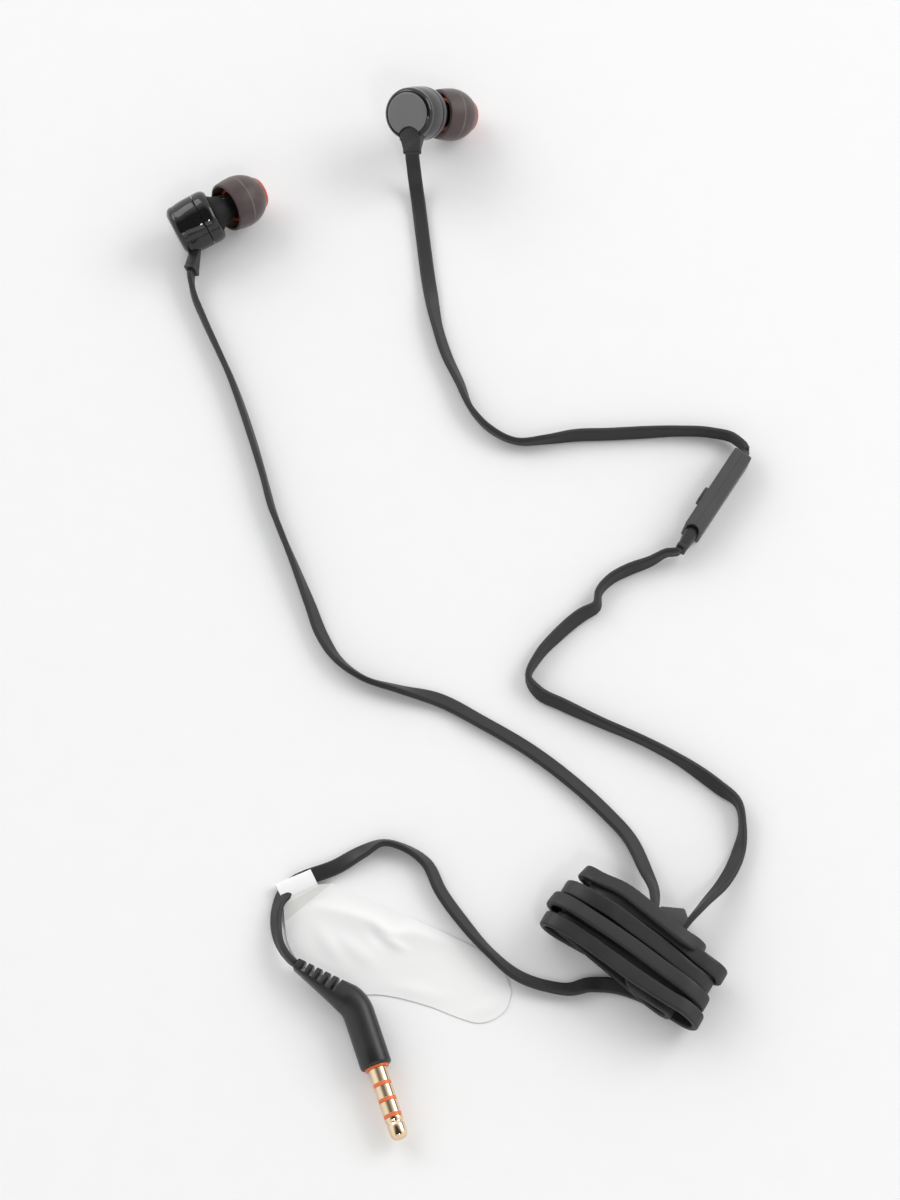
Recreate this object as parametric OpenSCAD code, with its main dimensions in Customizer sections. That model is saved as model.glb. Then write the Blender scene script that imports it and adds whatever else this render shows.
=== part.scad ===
// Wired in-ear earphones with angled nozzles, soft tips, an inline remote, a wound flat cord and a plug.
// Millimetres. The earpieces stand on z = 0 with the origin under the middle of the pair; +X runs across the
// pair, +Y away from the cord, +Z up. Every separate piece is one module, and "node" picks the one to build.

/* [Earpiece] */
// Outer diameter of the housing at its seam
housing_d = 11.4; // [9.6:0.1:14]
// Depth of the rear housing from the seam to the back
housing_depth = 6.3; // [5.3:0.1:8]
// Height of the front ring above the seam
ring_height = 3.0; // [2.5:0.1:3.6]
// Diameter of the matte cap let into the back
cap_d = 9.2; // [7.8:0.1:9.4]
// Tilt of the nozzle from the housing axis, in degrees
nozzle_tilt = 28; // [20:1:34]
// Outer diameter of the nozzle's straight spigot
nozzle_d = 5.2; // [4.3:0.1:6.3]
// Outer diameter of the soft ear tip
tip_d = 11.2; // [9.3:0.1:13.5]
// Length of the ear tip from its skirt edge to its front
tip_length = 9; // [8:0.1:10.8]
// How far the right ear tip stands off its seat on the nozzle
right_tip_out = 0.9; // [0:0.1:2]

/* [Driver] */
// Diameter of the driver's frame
driver_d = 9.0; // [8.6:0.1:9.05]
// Diameter of the magnet
magnet_d = 4.4; // [3.6:0.1:5.3]

/* [Cord] */
// Width of the flat cord
cord_w = 3.0; // [2.5:0.1:3.6]
// Thickness of the flat cord
cord_t = 1.2; // [1:0.1:1.4]

/* [Remote] */
// Length of the remote's shell
remote_length = 21.2; // [19:0.1:25]
// Thickness of the remote from front to back
remote_thickness = 4.0; // [3.8:0.1:4.8]
// Width of the remote's front face
remote_width = 5.8; // [5.5:0.1:7]
// Length of the button's face
button_length = 4.2; // [3.4:0.1:5]
// Width of the button's face
button_width = 3.0; // [2.5:0.1:3.1]
// How far the button goes in
button_stroke = 0.3; // [0.2:0.05:0.3]

/* [Plug] */
// Diameter of the plug barrel, a standard size
barrel_d = 3.5; // [3.4:0.1:3.6]
// Length of the plug barrel in front of the collar
barrel_length = 14; // [13.5:0.1:14.5]
// Diameter of the plug's over-mould
grip_d = 6.0; // [5.6:0.1:7.2]

/* [Build] */
// Node to build, or all

/* [Hidden] */
$fn = 48;
// Fits: between still pieces, between running pieces, and the thin cut that clears a face
fit = 0.05;
run = 0.1;
cut = 0.2;
clear = 0.03;
facets = 32;

// Earpiece, in its own frame: z along the housing axis towards the front, seam at z = 0
shell_r = housing_d / 2;
back_r = shell_r - 0.32;
edge_r = 0.6;
chamfer = 0.15;
wall = 0.8;
cap_r = cap_d / 2;
cap_t = 0.85;
cap_lift = 0.1;
cap_floor = -housing_depth + cap_t - 0.1;
floor_t = 0.85;
cavity_r = shell_r - wall;
cavity_floor = cap_floor + floor_t;
tongue_h = 0.8;
frame_r = driver_d / 2;
bore_r = frame_r + fit;
ring_step = 1.6;
ring_edge = 1.2;
flange_r = bore_r - fit;
flange_z = 1.0;
base_r = flange_r - 0.4;
channel_r = base_r - 0.7;
pivot_z = ring_height + 1.0;
nozzle_swing = -12;
spigot_r = nozzle_d / 2;
spigot_end = 7.2;
lip_r = spigot_r + 0.25;
lip_start = 6.4;
lip_end = 7.0;
sound_r = spigot_r - 0.7;
mesh_r = sound_r + 0.3;
mesh_t = 0.2;
mesh_seat = 0.3;
neck_r = spigot_r + 0.35;
vent_turn = 140;
vent_at = 0.9;
vent_seat_r = 0.45;
vent_hole_r = 0.25;
vent_radius = spigot_r + 0.1;
vent_mesh_t = 0.12;

// Soft tip, measured along the nozzle axis from the pivot
tip_r = tip_d / 2;
skirt = 1.7;
belly = skirt + 3.5;
skirt_curve = 9.6;
nose = tip_length - 2.9;
skin = 0.6;
core_start = 3.2;
core_step = spigot_end + cut;
core_end = skirt + tip_length;
core_bore = lip_r + fit;
core_r = core_bore + 0.7;
core_hole = sound_r + 0.3;

// Driver
magnet_r = magnet_d / 2;
yoke_r = magnet_r + 1.2;
yoke_back = -2.6;
gap_r = magnet_r + 0.5;
coil_r = magnet_r + 0.15;
coil_t = 0.15;

// Relief at the earpiece: root block in the housing's notch, then a leaning tail
root_w = 4.8;
root_y = 2.9;
root_out = shell_r - 0.3;
root_low = -housing_depth + 0.3;
root_high = -3.3;
root_mid = (root_low + root_high) / 2;
tail_length = 4.0;
tail_w = cord_w + 0.7;
tail_t = cord_t + 0.9;
collar_t = 0.7;
arch_r = 2.75;
arch_y = -cap_r - 0.75;

// Where the plan is laid, and where the earpieces stand on it: seam centre, turn about x, y and z, and how
// the soft relief leans
lay = [-0.8, 0.2, 0];
left_seam = lay + [-24.4, -11.1, 6.32];
left_turn = [73.5, 52, 103];
left_lean = [34, 0, -44];
right_seam = lay + [21.5, 11.6, 12.1];
right_turn = [145.5, 23, 170.5];
right_lean = [-42, -26, -6];

// Remote, in its own frame: x along it to the upper end, y to the button's side, z up
remote_turn = 57.5;
draft = 0.4;
remote_lean = atan(draft / remote_thickness);
half_l = remote_length / 2;
half_t = remote_thickness / 2;
half_w = remote_width / 2;
remote_at = lay + [82.6, -73.6, (half_w - draft / 2) * cos(remote_lean)];
shell_wall = 0.8;
room_l = half_l - 1.2;
room_t = half_t - shell_wall;
corner = 0.8;
button_x = -1.6;
button_proud = 0.7;
button_flange = 0.5;
flange_over = 0.8;
flange_side = 0.3;
button_low = room_t - fit - button_flange;
button_shoulder = half_t + button_proud - cut;
pcb_l = 17;
pcb_w = 3.4;
pcb_y = -0.7;
pcb_t = 0.5;
boss_r = 0.8;
boss_x = 7;
dome_h = button_low - button_stroke - fit - pcb_y - pcb_t;
dome_r = 1.3;
dome_base_l = 3.2;
dome_base_w = 2.8;
mic_x = 5;
mic_r = 1.5;
mic_h = 0.9;
mic_hole = 0.4;
neck_t = cord_t + 0.4;
neck_w = cord_w + 0.5;
room_w = (neck_w + cut) / 2 + fit;
upper_shift = -0.25;
upper_out = half_l + 0.4;
boot_x = -half_l - 0.4;
boot_r = 1.3;
scoop_r = boot_r + 0.15;
boot_tip = half_l + 4.2;
boot_tip_t = cord_t + 0.8;
boot_tip_w = cord_w + 0.4;

// Wound cord: u along the loops, v across them, w up, turned and set down at the splitter
pile_at = lay + [62, -170, 0];
pile_turn = -32.7;
pitch = cord_w + 0.85;
inner_loops = 4;
outer_loops = 5;
first_v = -6.2;
mid_w = 4.85;
inner_r = 2.4;
outer_r = 4.2;
pile_lean = 0.7;
left_reach = [[-9, 16], [-4, 17.8], [0, 18.2], [4, 17], [9, 13.5]];
right_reach = [[-9, 18.5], [-4, 18.8], [0, 18.2], [4, 17.6], [9, 12.8]];
inner_reach = [[-9, 13.5], [-4, 15], [0, 15.2], [4, 13.4], [9, 11.2]];
loop_rings = 24;
first_ring = 5;
last_ring = (inner_loops + outer_loops) * loop_rings - 9;

// Splitter, lying in the hollow of the wound cord
split_h = cord_w;
split_u = 3.4;
split_low = -1.5;
shoulder_v = 8.0;
outlet = 3.2;
split_outline = [[1.2, -1.5], [5.6, -1.5], [7.2, 1], [7.2, 8], [5.8, 8], [5.8, 10.4],
                 [4.2, 12], [1, 9.9], [1, 8], [-0.4, 8], [-0.4, 1]];
peg_r = 0.5;
peg_h = 0.8;
peg_v = [1.5, 6.5];

// Plug, in its own frame: x along the barrel, root at x = 0
plug_at = lay + [14.4, -192.6, 0];
plug_turn = -71.2;
grip_r = grip_d / 2;
barrel_r = barrel_d / 2;
collar_r = barrel_r + 0.55;
shank_r = barrel_r - 0.2;
plug_collar_t = 0.4;
grip_l = 11;
bend_r = 6;
bend = 36.7;
bend_lap = 1;
taper_l = 11.9;
taper_start_r = grip_r - 0.1;
taper_w = cord_t + 1.0;
taper_h = cord_w + 0.4;
slots = 5;
slot_w = 0.8;
slot_pitch = 1.75;
slot_first = 2.6;
spine = 0.9;
mould_r = 2.0;
mould_back = 8;
tail_back = 2.4;
liner_r = 1.15;
pin_r = 0.6;
pin_end = fit - 2 * pin_r - mould_back + tail_back;
band = 0.7;
sleeve_end = 2.8;
ring_2_end = 5.9;
ring_1_end = 9.0;
tip_start = ring_1_end + band;

// Label: a film leaf flat on the surface and a flat sleeve round the cord
film = 0.2;
leaf = [[-3, -158.4], [-2.6, -161.6], [-1.2, -164.4], [11.3, -175.4], [25.9, -180.3], [30.5, -182.2],
        [34.4, -182.8], [38.1, -180.6], [39.4, -175.6], [37, -172.1], [32.4, -168.3], [20.5, -162.6],
        [11.2, -161.2], [5, -153.4], [-1.4, -156.5]];
sleeve_at = [1.7, -154.6, 0];
sleeve_turn = 206.1;
sleeve_l = 7.4;
sleeve_gap = 0.1;
sleeve_skin = 0.3;
sleeve_z = cord_t / 2 + 0.4 + clear;

// Routes of the cord's four free stretches: x, y, roll of the flat section in degrees, lift above the surface
right_upper = [[20.2, 2.6, 0, 4.4], [20.6, 0.4, 0, 1.7], [21.2, -3.6, 0, 0.4], [22, -10.5, 0, 0.1],
               [23.8, -25.2, -15, 0],
               [25.2, -33.5, -50, 0], [27.4, -41.2, -50, 0], [29.9, -47.1, -60, 0], [32.4, -53.5, -78, 0],
               [36.1, -58, -80, 0], [41.5, -61, -75, 0], [48, -60.6, -90, 0], [53.7, -59.7, -110, 0],
               [61, -59.4, -110, 0], [68, -59, -110, 0], [75, -58.7, -98, 0], [82.2, -59.2, -95, 0.2],
               [86.6, -60.8, -93, 0.7]];
right_lower = [[71.7, -86.6, -90, 0.7], [68.8, -88.1, -80, 0.2], [64, -90, -70, 0], [60.4, -92.1, -75, 0],
               [57.9, -95.2, -80, 0], [57.6, -97.8, -70, 0], [54.5, -99.8, -50, 0], [49.6, -104.2, -58, 0],
               [45.6, -108.9, -75, 0], [43.6, -113.6, -90, 0], [45.6, -116.6, -115, 0], [50.2, -119.1, -115, 0],
               [58, -123, -100, 0], [65.4, -126.4, -95, 0], [72.5, -130.4, -103, 0], [80.7, -136.5, -125, 0],
               [84.3, -139.8, -95, 0], [84.9, -144, -95, 0], [83.6, -150.6, -140, 0.2],
               [80.6, -156.3, -138, 1.5], [76.6, -161, -112, 2.8]];
left_route = [[-26.4, -25.5, -90, 0.3], [-24, -32, -90, 0], [-20.7, -39.5, -85, 0], [-17.9, -45.9, -80, 0],
              [-15.4, -52.7, -75, 0], [-12.7, -61, -75, 0], [-10.2, -69.5, -80, 0], [-8.2, -76.8, -79, 0],
              [-7.1, -79.8, -86, 0], [-3.6, -88.6, -75, 0], [-0.2, -97.5, -55, 0], [2.5, -104.6, -45, 0],
              [5.4, -109.3, -60, 0], [10.5, -113.4, -70, 0], [18.1, -115.9, -55, 0], [25.6, -117.9, -20, 0],
              [34.3, -122.7, -25, 0], [44, -128.8, -22, 0], [52.5, -135.7, -25, 0], [58.5, -141.6, -27, 0],
              [62.8, -146.8, -30, 0.3], [65.6, -153.5, -36, 1.4], [67.2, -159.2, -60, 2.9]];
main_route = [[56.6, -175.8, 0, 0], [54.3, -175.9, 15, 0], [51, -176.8, 32, 0], [46.5, -176.3, 42, 0.1],
              [41.3, -174.5, 45, 0.3], [35.2, -169.4, 58, 0.3], [30.3, -163.5, 45, 0.2], [26.2, -157.5, 45, 0],
              [23.3, -151.7, 52, 0], [19.5, -149, 64, 0], [15, -147.8, 65, 0], [11, -149.6, 30, 0.2],
              [6.6, -152.2, 0, 0.4], [-3.2, -157, 0, 0.4], [-5, -160.4, 50, 0.2], [-5.2, -165.4, 62, 0.3],
              [-4, -169.2, 78, 1]];

// Vectors, turns and outlines
function unit(v) = v / norm(v);
function oval(c, rx, ry, a, b, n) =
    [for (i = [0:n]) [c[0] + rx * cos(a + (b - a) * i / n), c[1] + ry * sin(a + (b - a) * i / n)]];
function arc(c, r, a, b, n) = oval(c, r, r, a, b, n);
function spin_x(p, a) = [p[0], p[1] * cos(a) - p[2] * sin(a), p[1] * sin(a) + p[2] * cos(a)];
function spin_y(p, a) = [p[0] * cos(a) + p[2] * sin(a), p[1], p[2] * cos(a) - p[0] * sin(a)];
function spin_z(p, a) = [p[0] * cos(a) - p[1] * sin(a), p[0] * sin(a) + p[1] * cos(a), p[2]];
function turned(p, t) = spin_z(spin_y(spin_x(p, t[0]), t[1]), t[2]);
function ease(x) = x <= 0 ? 0 : x >= 1 ? 1 : x * x * (3 - 2 * x);

// Flat section of the cord, eight sides, and the same with six for the wound part
flat = 0.3;
half_cw = cord_w / 2;
half_ct = cord_t / 2;
section = [[half_cw, -flat], [half_cw, flat], [half_cw - flat, half_ct], [flat - half_cw, half_ct],
           [-half_cw, flat], [-half_cw, -flat], [flat - half_cw, -half_ct], [half_cw - flat, -half_ct]];
pile_section = [[half_cw, 0], [half_cw - flat, half_ct], [flat - half_cw, half_ct],
                [-half_cw, 0], [flat - half_cw, -half_ct], [half_cw - flat, -half_ct]];

// A strip needs centres, headings and width directions; the ends are square to their headings
function ring_at(c, t, w, shape) = [for (q = shape) c + w * q[0] + cross(t, w) * q[1]];
function square(w, t) = unit(w - t * (w * t));
function level(t) = unit(cross([0, 0, 1], t));
function rolled(t, roll) = level(t) * cos(roll) + cross(t, level(t)) * sin(roll);
function lowest(roll) = max([for (q = section) abs(q[0] * sin(roll)) + abs(q[1] * cos(roll))]);
function heading(c, i) = unit(unit(c[i + 1] - c[i]) + unit(c[i] - c[i - 1]));
function tube_faces(n, m) = concat(
    [[for (k = [0:m - 1]) k]],
    [for (i = [0:n - 2], k = [0:m - 1]) [i * m + k, (i + 1) * m + k, (i + 1) * m + (k + 1) % m]],
    [for (i = [0:n - 2], k = [0:m - 1]) [i * m + k, (i + 1) * m + (k + 1) % m, i * m + (k + 1) % m]],
    [[for (k = [m - 1:-1:0]) (n - 1) * m + k]]);

module strip(centres, headings, widths, shape) {
    rings = [for (i = [0:len(centres) - 1]) each ring_at(centres[i], headings[i], widths[i], shape)];
    polyhedron(points = rings, faces = tube_faces(len(centres), len(shape)));
}

// A free stretch from one face to another along its route; each end has a centre, a heading and a width
function agree(w, v) = w * v < 0 ? -w : w;

module stretch(start, route, end) {
    mids = [for (q = route) lay + [q[0], q[1], lowest(q[2]) + q[3] + clear]];
    centres = concat([start[0]], mids, [end[0]]);
    last = len(centres) - 1;
    headings = [for (i = [0:last]) i == 0 ? start[1] : i == last ? end[1] : heading(centres, i)];
    middle = [for (i = [1:last - 1]) rolled(headings[i], route[i - 1][2])];
    widths = concat([agree(start[2], middle[0])], middle, [agree(end[2], middle[last - 2])]);
    strip(centres, headings, widths, section);
}

// Wound cord: its centre at each ring, 24 rings a loop, and its lead-in from the splitter
quarter = loop_rings / 4;
lead_rings = 6;
lead_pull = 6;
lead_push = 10;
function climb(q) = ease((q - inner_loops) * 4);
function pile_r(q) = inner_r + (outer_r - inner_r) * climb(q);
function across(k, d) = first_v + pitch * (k < inner_loops ? k + d : 2 * inner_loops - k - d);
function reach(q, v, side) = lookup(v, inner_reach) * (1 - climb(q)) + lookup(v, side) * climb(q);
function end_turn(j) = 90 - 180 * (j - quarter) / quarter;
function lap(j, r, low, high) =
    j < quarter ? [low + (high - low) * j / quarter, r] :
    j < 2 * quarter ? [high + r * cos(end_turn(j)), r * sin(end_turn(j))] :
    j < 3 * quarter ? [high - (high - low) * (j - 2 * quarter) / quarter, -r] :
    [low + r * cos(end_turn(j - quarter)), r * sin(end_turn(j - quarter))];
function looped(q, j, v, r) = lap(j, r, r - reach(q, v, left_reach), reach(q, v, right_reach) - r);
function drift(j) = min(max(j - 2 * quarter, 0), quarter) / quarter;
function laid(v, p) = [p[0], v - pile_lean * p[1] / outer_r, mid_w + p[1]];
function pile_v(i) = across(floor(i / loop_rings), drift(i % loop_rings));
function pile_point(i) = laid(pile_v(i),
    looped(i / loop_rings, i % loop_rings, pile_v(i), pile_r(i / loop_rings)));
function blend(a, s, b, e, t) =
    (2 * t - 3) * t * t * (a - b) + a + (t - 2) * t * t * s + t * s + (t - 1) * t * t * e;
lead_from = [split_u, split_low, mid_w];
lead_on = [split_u, split_low - cord_w, mid_w];
lead_to = pile_point(first_ring);
lead_heading = unit(pile_point(first_ring + 1) - lead_to);
pile = concat([lead_from, lead_on],
    [for (i = [1:lead_rings - 1])
        blend(lead_on, [0, -lead_pull, 0], lead_to, lead_heading * lead_push, i / lead_rings)],
    [for (i = [first_ring:last_ring]) pile_point(i)]);
pile_last = len(pile) - 1;
pile_headings = [for (i = [0:pile_last]) unit(pile[min(i + 1, pile_last)] - pile[max(i - 1, 0)])];
pile_widths = [for (i = [0:pile_last]) i <= lead_rings ? unit([-pile_headings[i][1], pile_headings[i][0], 0]) :
               square([0, 1, 0], pile_headings[i])];
pile_rings = [for (i = [0:pile_last]) ring_at(pile[i], pile_headings[i], pile_widths[i], pile_section)];

// Least gap between the wound cord's surface points and the flat boxes of rings that aren't its neighbours
near = 5;
function over(x, half) = max(0, abs(x) - half);
function box_gap(d, i, half_l) = norm([over(d * pile_headings[i], half_l), over(d * pile_widths[i], half_cw),
    over(d * cross(pile_headings[i], pile_widths[i]), half_ct)]);
function half_step(i) = norm(pile[min(i + 1, pile_last)] - pile[i]) / 2;
function least_gap() = min([for (i = [0:pile_last], j = [0:pile_last])
    if (abs(i - j) > near && norm(pile[i] - pile[j]) < 2 * cord_w)
    min([for (p = pile_rings[i]) box_gap(p - pile[j], j, half_step(j))])]);
function track(c) = [for (i = [1:len(c) - 1]) norm(c[i] - c[i - 1])];
function total(v, i = 0) = i < len(v) ? v[i] + total(v, i + 1) : 0;
echo(least_gap_of_wound_cord = least_gap(), wound_length = total(track(pile)));

// Where the free stretches start and end
function in_pile(p) = pile_at + spin_z(p, pile_turn);
function in_remote(p) = spin_z(spin_x(p, remote_lean), remote_turn);
function in_plug(p) = spin_z(p, plug_turn);
tail_total = tail_length + collar_t;
function sided(p, side) = [p[0] * side, p[1], p[2]];
function relief_end(seam, turn, lean, side) = [
    seam + turned(sided([0, -root_out, root_mid] + turned([0, -tail_total, 0], lean), side), turn),
    turned(sided(turned([0, -1, 0], lean), side), turn), turned(sided(turned([1, 0, 0], lean), side), turn)];
left_start = relief_end(left_seam, left_turn, left_lean, 1);
right_start = relief_end(right_seam, right_turn, right_lean, -1);
remote_upper = [remote_at + in_remote([upper_out, upper_shift, 0]), in_remote([-1, 0, 0]),
                in_remote([0, 0, 1])];
remote_lower = [remote_at + in_remote([-boot_tip, 0, 0]), in_remote([-1, 0, 0]), in_remote([0, 0, 1])];
left_outlet = [in_pile([split_u - outlet, shoulder_v, mid_w]), spin_z([0, -1, 0], pile_turn), [0, 0, 1]];
right_outlet = [in_pile([split_u + outlet, shoulder_v, mid_w]), spin_z([0, -1, 0], pile_turn), [0, 0, 1]];
main_start = [in_pile(pile[pile_last]), spin_z(pile_headings[pile_last], pile_turn),
              spin_z(pile_widths[pile_last], pile_turn)];
elbow = [-grip_l - bend_r * sin(bend), -bend_r * (1 - cos(bend)), grip_r];
taper_end = elbow - taper_l * [cos(bend), sin(bend), 0];
main_end = [plug_at + in_plug(taper_end), in_plug([cos(bend), sin(bend), 0]), [0, 0, 1]];

// Placing
module at_left() translate(left_seam) rotate(left_turn) children();
module at_right() translate(right_seam) rotate(right_turn) mirror([1, 0, 0]) children();
module at_nozzle() {
    translate([0, 0, pivot_z]) rotate([0, 0, nozzle_swing]) rotate([0, nozzle_tilt, 0]) children();
}
module at_remote() translate(remote_at) rotate([remote_lean, 0, remote_turn]) children();
module at_pile() translate(pile_at) rotate([0, 0, pile_turn]) children();
module at_plug() translate(plug_at + [0, 0, grip_r]) rotate([0, 0, plug_turn]) children();
module barrel_axis() at_plug() rotate([0, 90, 0]) children();

// Shapes shared by pairs of pieces
module tube(outer, inner, low, high) {
    rotate_extrude() translate([inner, low]) square([outer - inner, high - low]);
}
module disc(r, low, high) translate([0, 0, low]) cylinder(r = r, h = high - low);
module slab(x, y, z) translate([-x / 2, -y / 2, 0]) cube([x, y, z]);
module turned_profile(points) rotate_extrude() polygon(points);
module pill(l, w, h) {
    slab(l - w, w, h);
    for (s = [-1, 1]) translate([s * (l - w) / 2, 0, 0]) cylinder(d = w, h = h);
}

// Earpiece pieces
module rear_cap() {
    difference() {
        turned_profile([[0, -housing_depth - cap_lift], [cap_r - chamfer, -housing_depth - cap_lift],
                        [cap_r, chamfer - housing_depth - cap_lift], [cap_r, cap_floor], [0, cap_floor]]);
        translate([0, arch_y, -housing_depth - 1]) cylinder(r = arch_r, h = 2 * cap_t + 1);
    }
}
module rear_housing() {
    difference() {
        turned_profile(concat([[0, cavity_floor], [0, cap_floor], [cap_r + fit, cap_floor],
            [cap_r + fit, -housing_depth]],
            arc([back_r - edge_r, edge_r - housing_depth], edge_r, -90, -4, 5),
            [[shell_r, -chamfer], [shell_r - chamfer, 0], [cavity_r, 0], [cavity_r, -1],
            [cavity_r - 0.6, cavity_floor]]));
        translate([-root_w / 2 - fit, -shell_r - 1, -housing_depth - 1])
            cube([root_w + 2 * fit, shell_r + 1 - root_y, root_high + housing_depth + 1]);
    }
}
module front_ring() {
    turned_profile(concat(
        [[cavity_r, 0], [shell_r - chamfer, 0], [shell_r, chamfer], [shell_r - fit, ring_step - 0.2]],
        arc([shell_r - fit - ring_edge, ring_height - ring_edge], ring_edge, 0, 90, 6),
        [[base_r + fit, ring_height], [base_r + fit, ring_step], [bore_r, ring_step],
        [bore_r, -tongue_h], [cavity_r - fit, -tongue_h], [cavity_r - fit, 0]]));
}
module nozzle_section(tilt, t, r) {
    translate([0, 0, pivot_z]) rotate([0, 0, nozzle_swing]) rotate([0, tilt, 0])
        translate([0, 0, t]) cylinder(r = r, h = fit, $fn = facets);
}
module nozzle() {
    difference() {
        union() {
            disc(flange_r, flange_z, ring_step);
            disc(base_r, flange_z, ring_height);
            hull() {
                nozzle_section(0, -1 - fit, base_r - run);
                nozzle_section(nozzle_tilt / 3, -0.3, neck_r + 0.5);
            }
            hull() {
                nozzle_section(nozzle_tilt / 3, -0.3, neck_r + 0.5);
                nozzle_section(nozzle_tilt * 2 / 3, 0.5, neck_r + 0.15);
            }
            hull() {
                nozzle_section(nozzle_tilt * 2 / 3, 0.5, neck_r + 0.15);
                nozzle_section(nozzle_tilt, 1.5, neck_r);
            }
            at_nozzle() disc(spigot_r, 1.2, spigot_end);
            at_nozzle() disc(lip_r, lip_start, lip_end);
        }
        disc(base_r - cut, 0, ring_step + 0.3);
        hull() {
            nozzle_section(0, ring_step + 0.25 - pivot_z, channel_r);
            nozzle_section(nozzle_tilt, 1.5, sound_r - fit);
        }
        at_nozzle() disc(sound_r, 1.4, spigot_end + 1);
        at_nozzle() disc(mesh_r + fit, spigot_end - mesh_seat, spigot_end + 1);
        at_nozzle() rotate([0, 0, vent_turn]) translate([vent_radius, 0, vent_at]) rotate([0, 90, 0])
            cylinder(r = vent_seat_r, h = 2);
        at_nozzle() rotate([0, 0, vent_turn]) translate([1, 0, vent_at]) rotate([0, 90, 0])
            cylinder(r = vent_hole_r, h = 3);
    }
}
module nozzle_mesh() at_nozzle() disc(mesh_r, spigot_end - mesh_seat, spigot_end - mesh_seat + mesh_t);
module vent_mesh() {
    at_nozzle() rotate([0, 0, vent_turn]) translate([vent_radius, 0, vent_at]) rotate([0, 90, 0])
        cylinder(r = vent_seat_r - fit / 2, h = vent_mesh_t);
}
front_at = acos(core_r / tip_r);
inner_front_at = acos(core_r / (tip_r - skin));
skirt_at = asin((skirt - belly) / skirt_curve);
module tip_dome(out = 0) {
    at_nozzle() translate([0, 0, out]) turned_profile(concat(
        oval([0, belly], tip_r, skirt_curve, skirt_at, 0, 4),
        oval([0, belly], tip_r, nose, 6, front_at, 10),
        oval([0, belly], tip_r - skin, nose - skin, inner_front_at, 0, 10),
        oval([0, belly], tip_r - skin, skirt_curve, -2, skirt_at, 4)));
}
module tip_core(out = 0) {
    at_nozzle() translate([0, 0, out]) turned_profile([[core_bore, core_start], [core_r, core_start],
        [core_r, belly + nose * sin(front_at)], [core_r - 0.25, core_end - 0.15], [core_r - 0.6, core_end],
        [core_hole + 0.2, core_end], [core_hole, core_end - 0.2], [core_hole, core_step],
        [core_bore, core_step]]);
}
module driver_frame() {
    turned_profile([[yoke_r - 0.25, -1.2], [frame_r, -1.2], [frame_r, 0.9], [frame_r - 0.55, 0.9],
        [frame_r - 0.55, -0.8], [yoke_r - 0.25, -0.8]]);
}
module driver_yoke() {
    turned_profile([[0, yoke_back], [yoke_r, yoke_back], [yoke_r, -1.2], [yoke_r - 0.3, -1.2],
        [yoke_r - 0.3, -0.15], [gap_r, -0.15], [gap_r, yoke_back + 0.5], [0, yoke_back + 0.5]]);
}
module driver_magnet() disc(magnet_r, yoke_back + 0.5, -0.8);
module driver_washer() disc(magnet_r, -0.8, -0.3);
module voice_coil() tube(coil_r + coil_t, coil_r, -0.8, 0.8);
module diaphragm() {
    turned_profile([[0, 1.5], [0, 1.4], [1, 1.3], [coil_r - 0.1, 0.8], [coil_r + coil_t, 0.8],
        [coil_r + 0.6, 1.2],
        [frame_r - 0.55, 0.9], [frame_r - fit, 0.9], [frame_r - fit, 1], [frame_r - 0.65, 1],
        [coil_r + 0.6, 1.3], [coil_r + coil_t, 0.9], [1, 1.4]]);
}
module driver_pcb() {
    difference() {
        disc(yoke_r - 0.2, yoke_back - 0.5, yoke_back);
        translate([-yoke_r, -yoke_r - 0.6, yoke_back - 1]) cube([2 * yoke_r, yoke_r, 2]);
    }
}
module relief_section(w, t, h) rotate([90, 0, 0]) slab(w, t, h);
module strain_relief(lean) {
    translate([-root_w / 2, -root_out, cap_floor + fit])
        cube([root_w, root_out - root_y, root_high - cap_floor - fit]);
    intersection() {
        translate([-root_w / 2, -root_out, root_low]) cube([root_w, root_out - root_y, 1]);
        translate([0, arch_y, root_low]) cylinder(r = arch_r - run, h = 1);
    }
    hull() {
        translate([0, cut - root_out, root_mid]) relief_section(root_w - cut, root_high - root_low - cut, cut);
        translate([0, -root_out, root_mid]) rotate(lean) translate([0, -tail_length, 0])
            relief_section(tail_w, tail_t, cut);
    }
    translate([0, -root_out, root_mid]) rotate(lean) translate([0, -tail_length, 0])
        relief_section(tail_w + 0.2, tail_t + 0.2, collar_t);
}

// Remote pieces: the blank is a drafted bar with rounded corners, split at y = 0
module remote_blank() {
    intersection() {
        translate([-half_l, 0, 0]) rotate([90, 0, 90]) linear_extrude(remote_length)
            polygon([[half_t, -half_w], [half_t, half_w],
                [-half_t, half_w - draft], [-half_t, draft - half_w]]);
        translate([0, 0, -half_w]) linear_extrude(remote_width)
            polygon(concat(arc([half_l - corner, half_t - corner], corner, 0, 90, 4),
                arc([corner - half_l, half_t - corner], corner, 90, 180, 4),
                arc([corner - half_l, corner - half_t], corner, 180, 270, 4),
                arc([half_l - corner, corner - half_t], corner, 270, 360, 4)));
    }
}
module remote_bar(x, y, z, cx = 0, cy = 0) translate([cx - x / 2, cy - y / 2, -z / 2]) cube([x, y, z]);
module remote_openings() {
    remote_bar(2 * room_l, 2 * room_t, 2 * room_w);
    remote_bar(4, neck_t + 2 * run, neck_w + 2 * run, half_l, upper_shift);
    remote_bar(4, neck_t + 2 * run, neck_w + 2 * run, -half_l);
    translate([boot_x, 0, -half_w - 1]) cylinder(r = scoop_r, h = remote_width + 2);
}
module button_pill(l, w, low, high) translate([button_x, low, 0]) rotate([-90, 0, 0]) pill(l, w, high - low);
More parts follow.
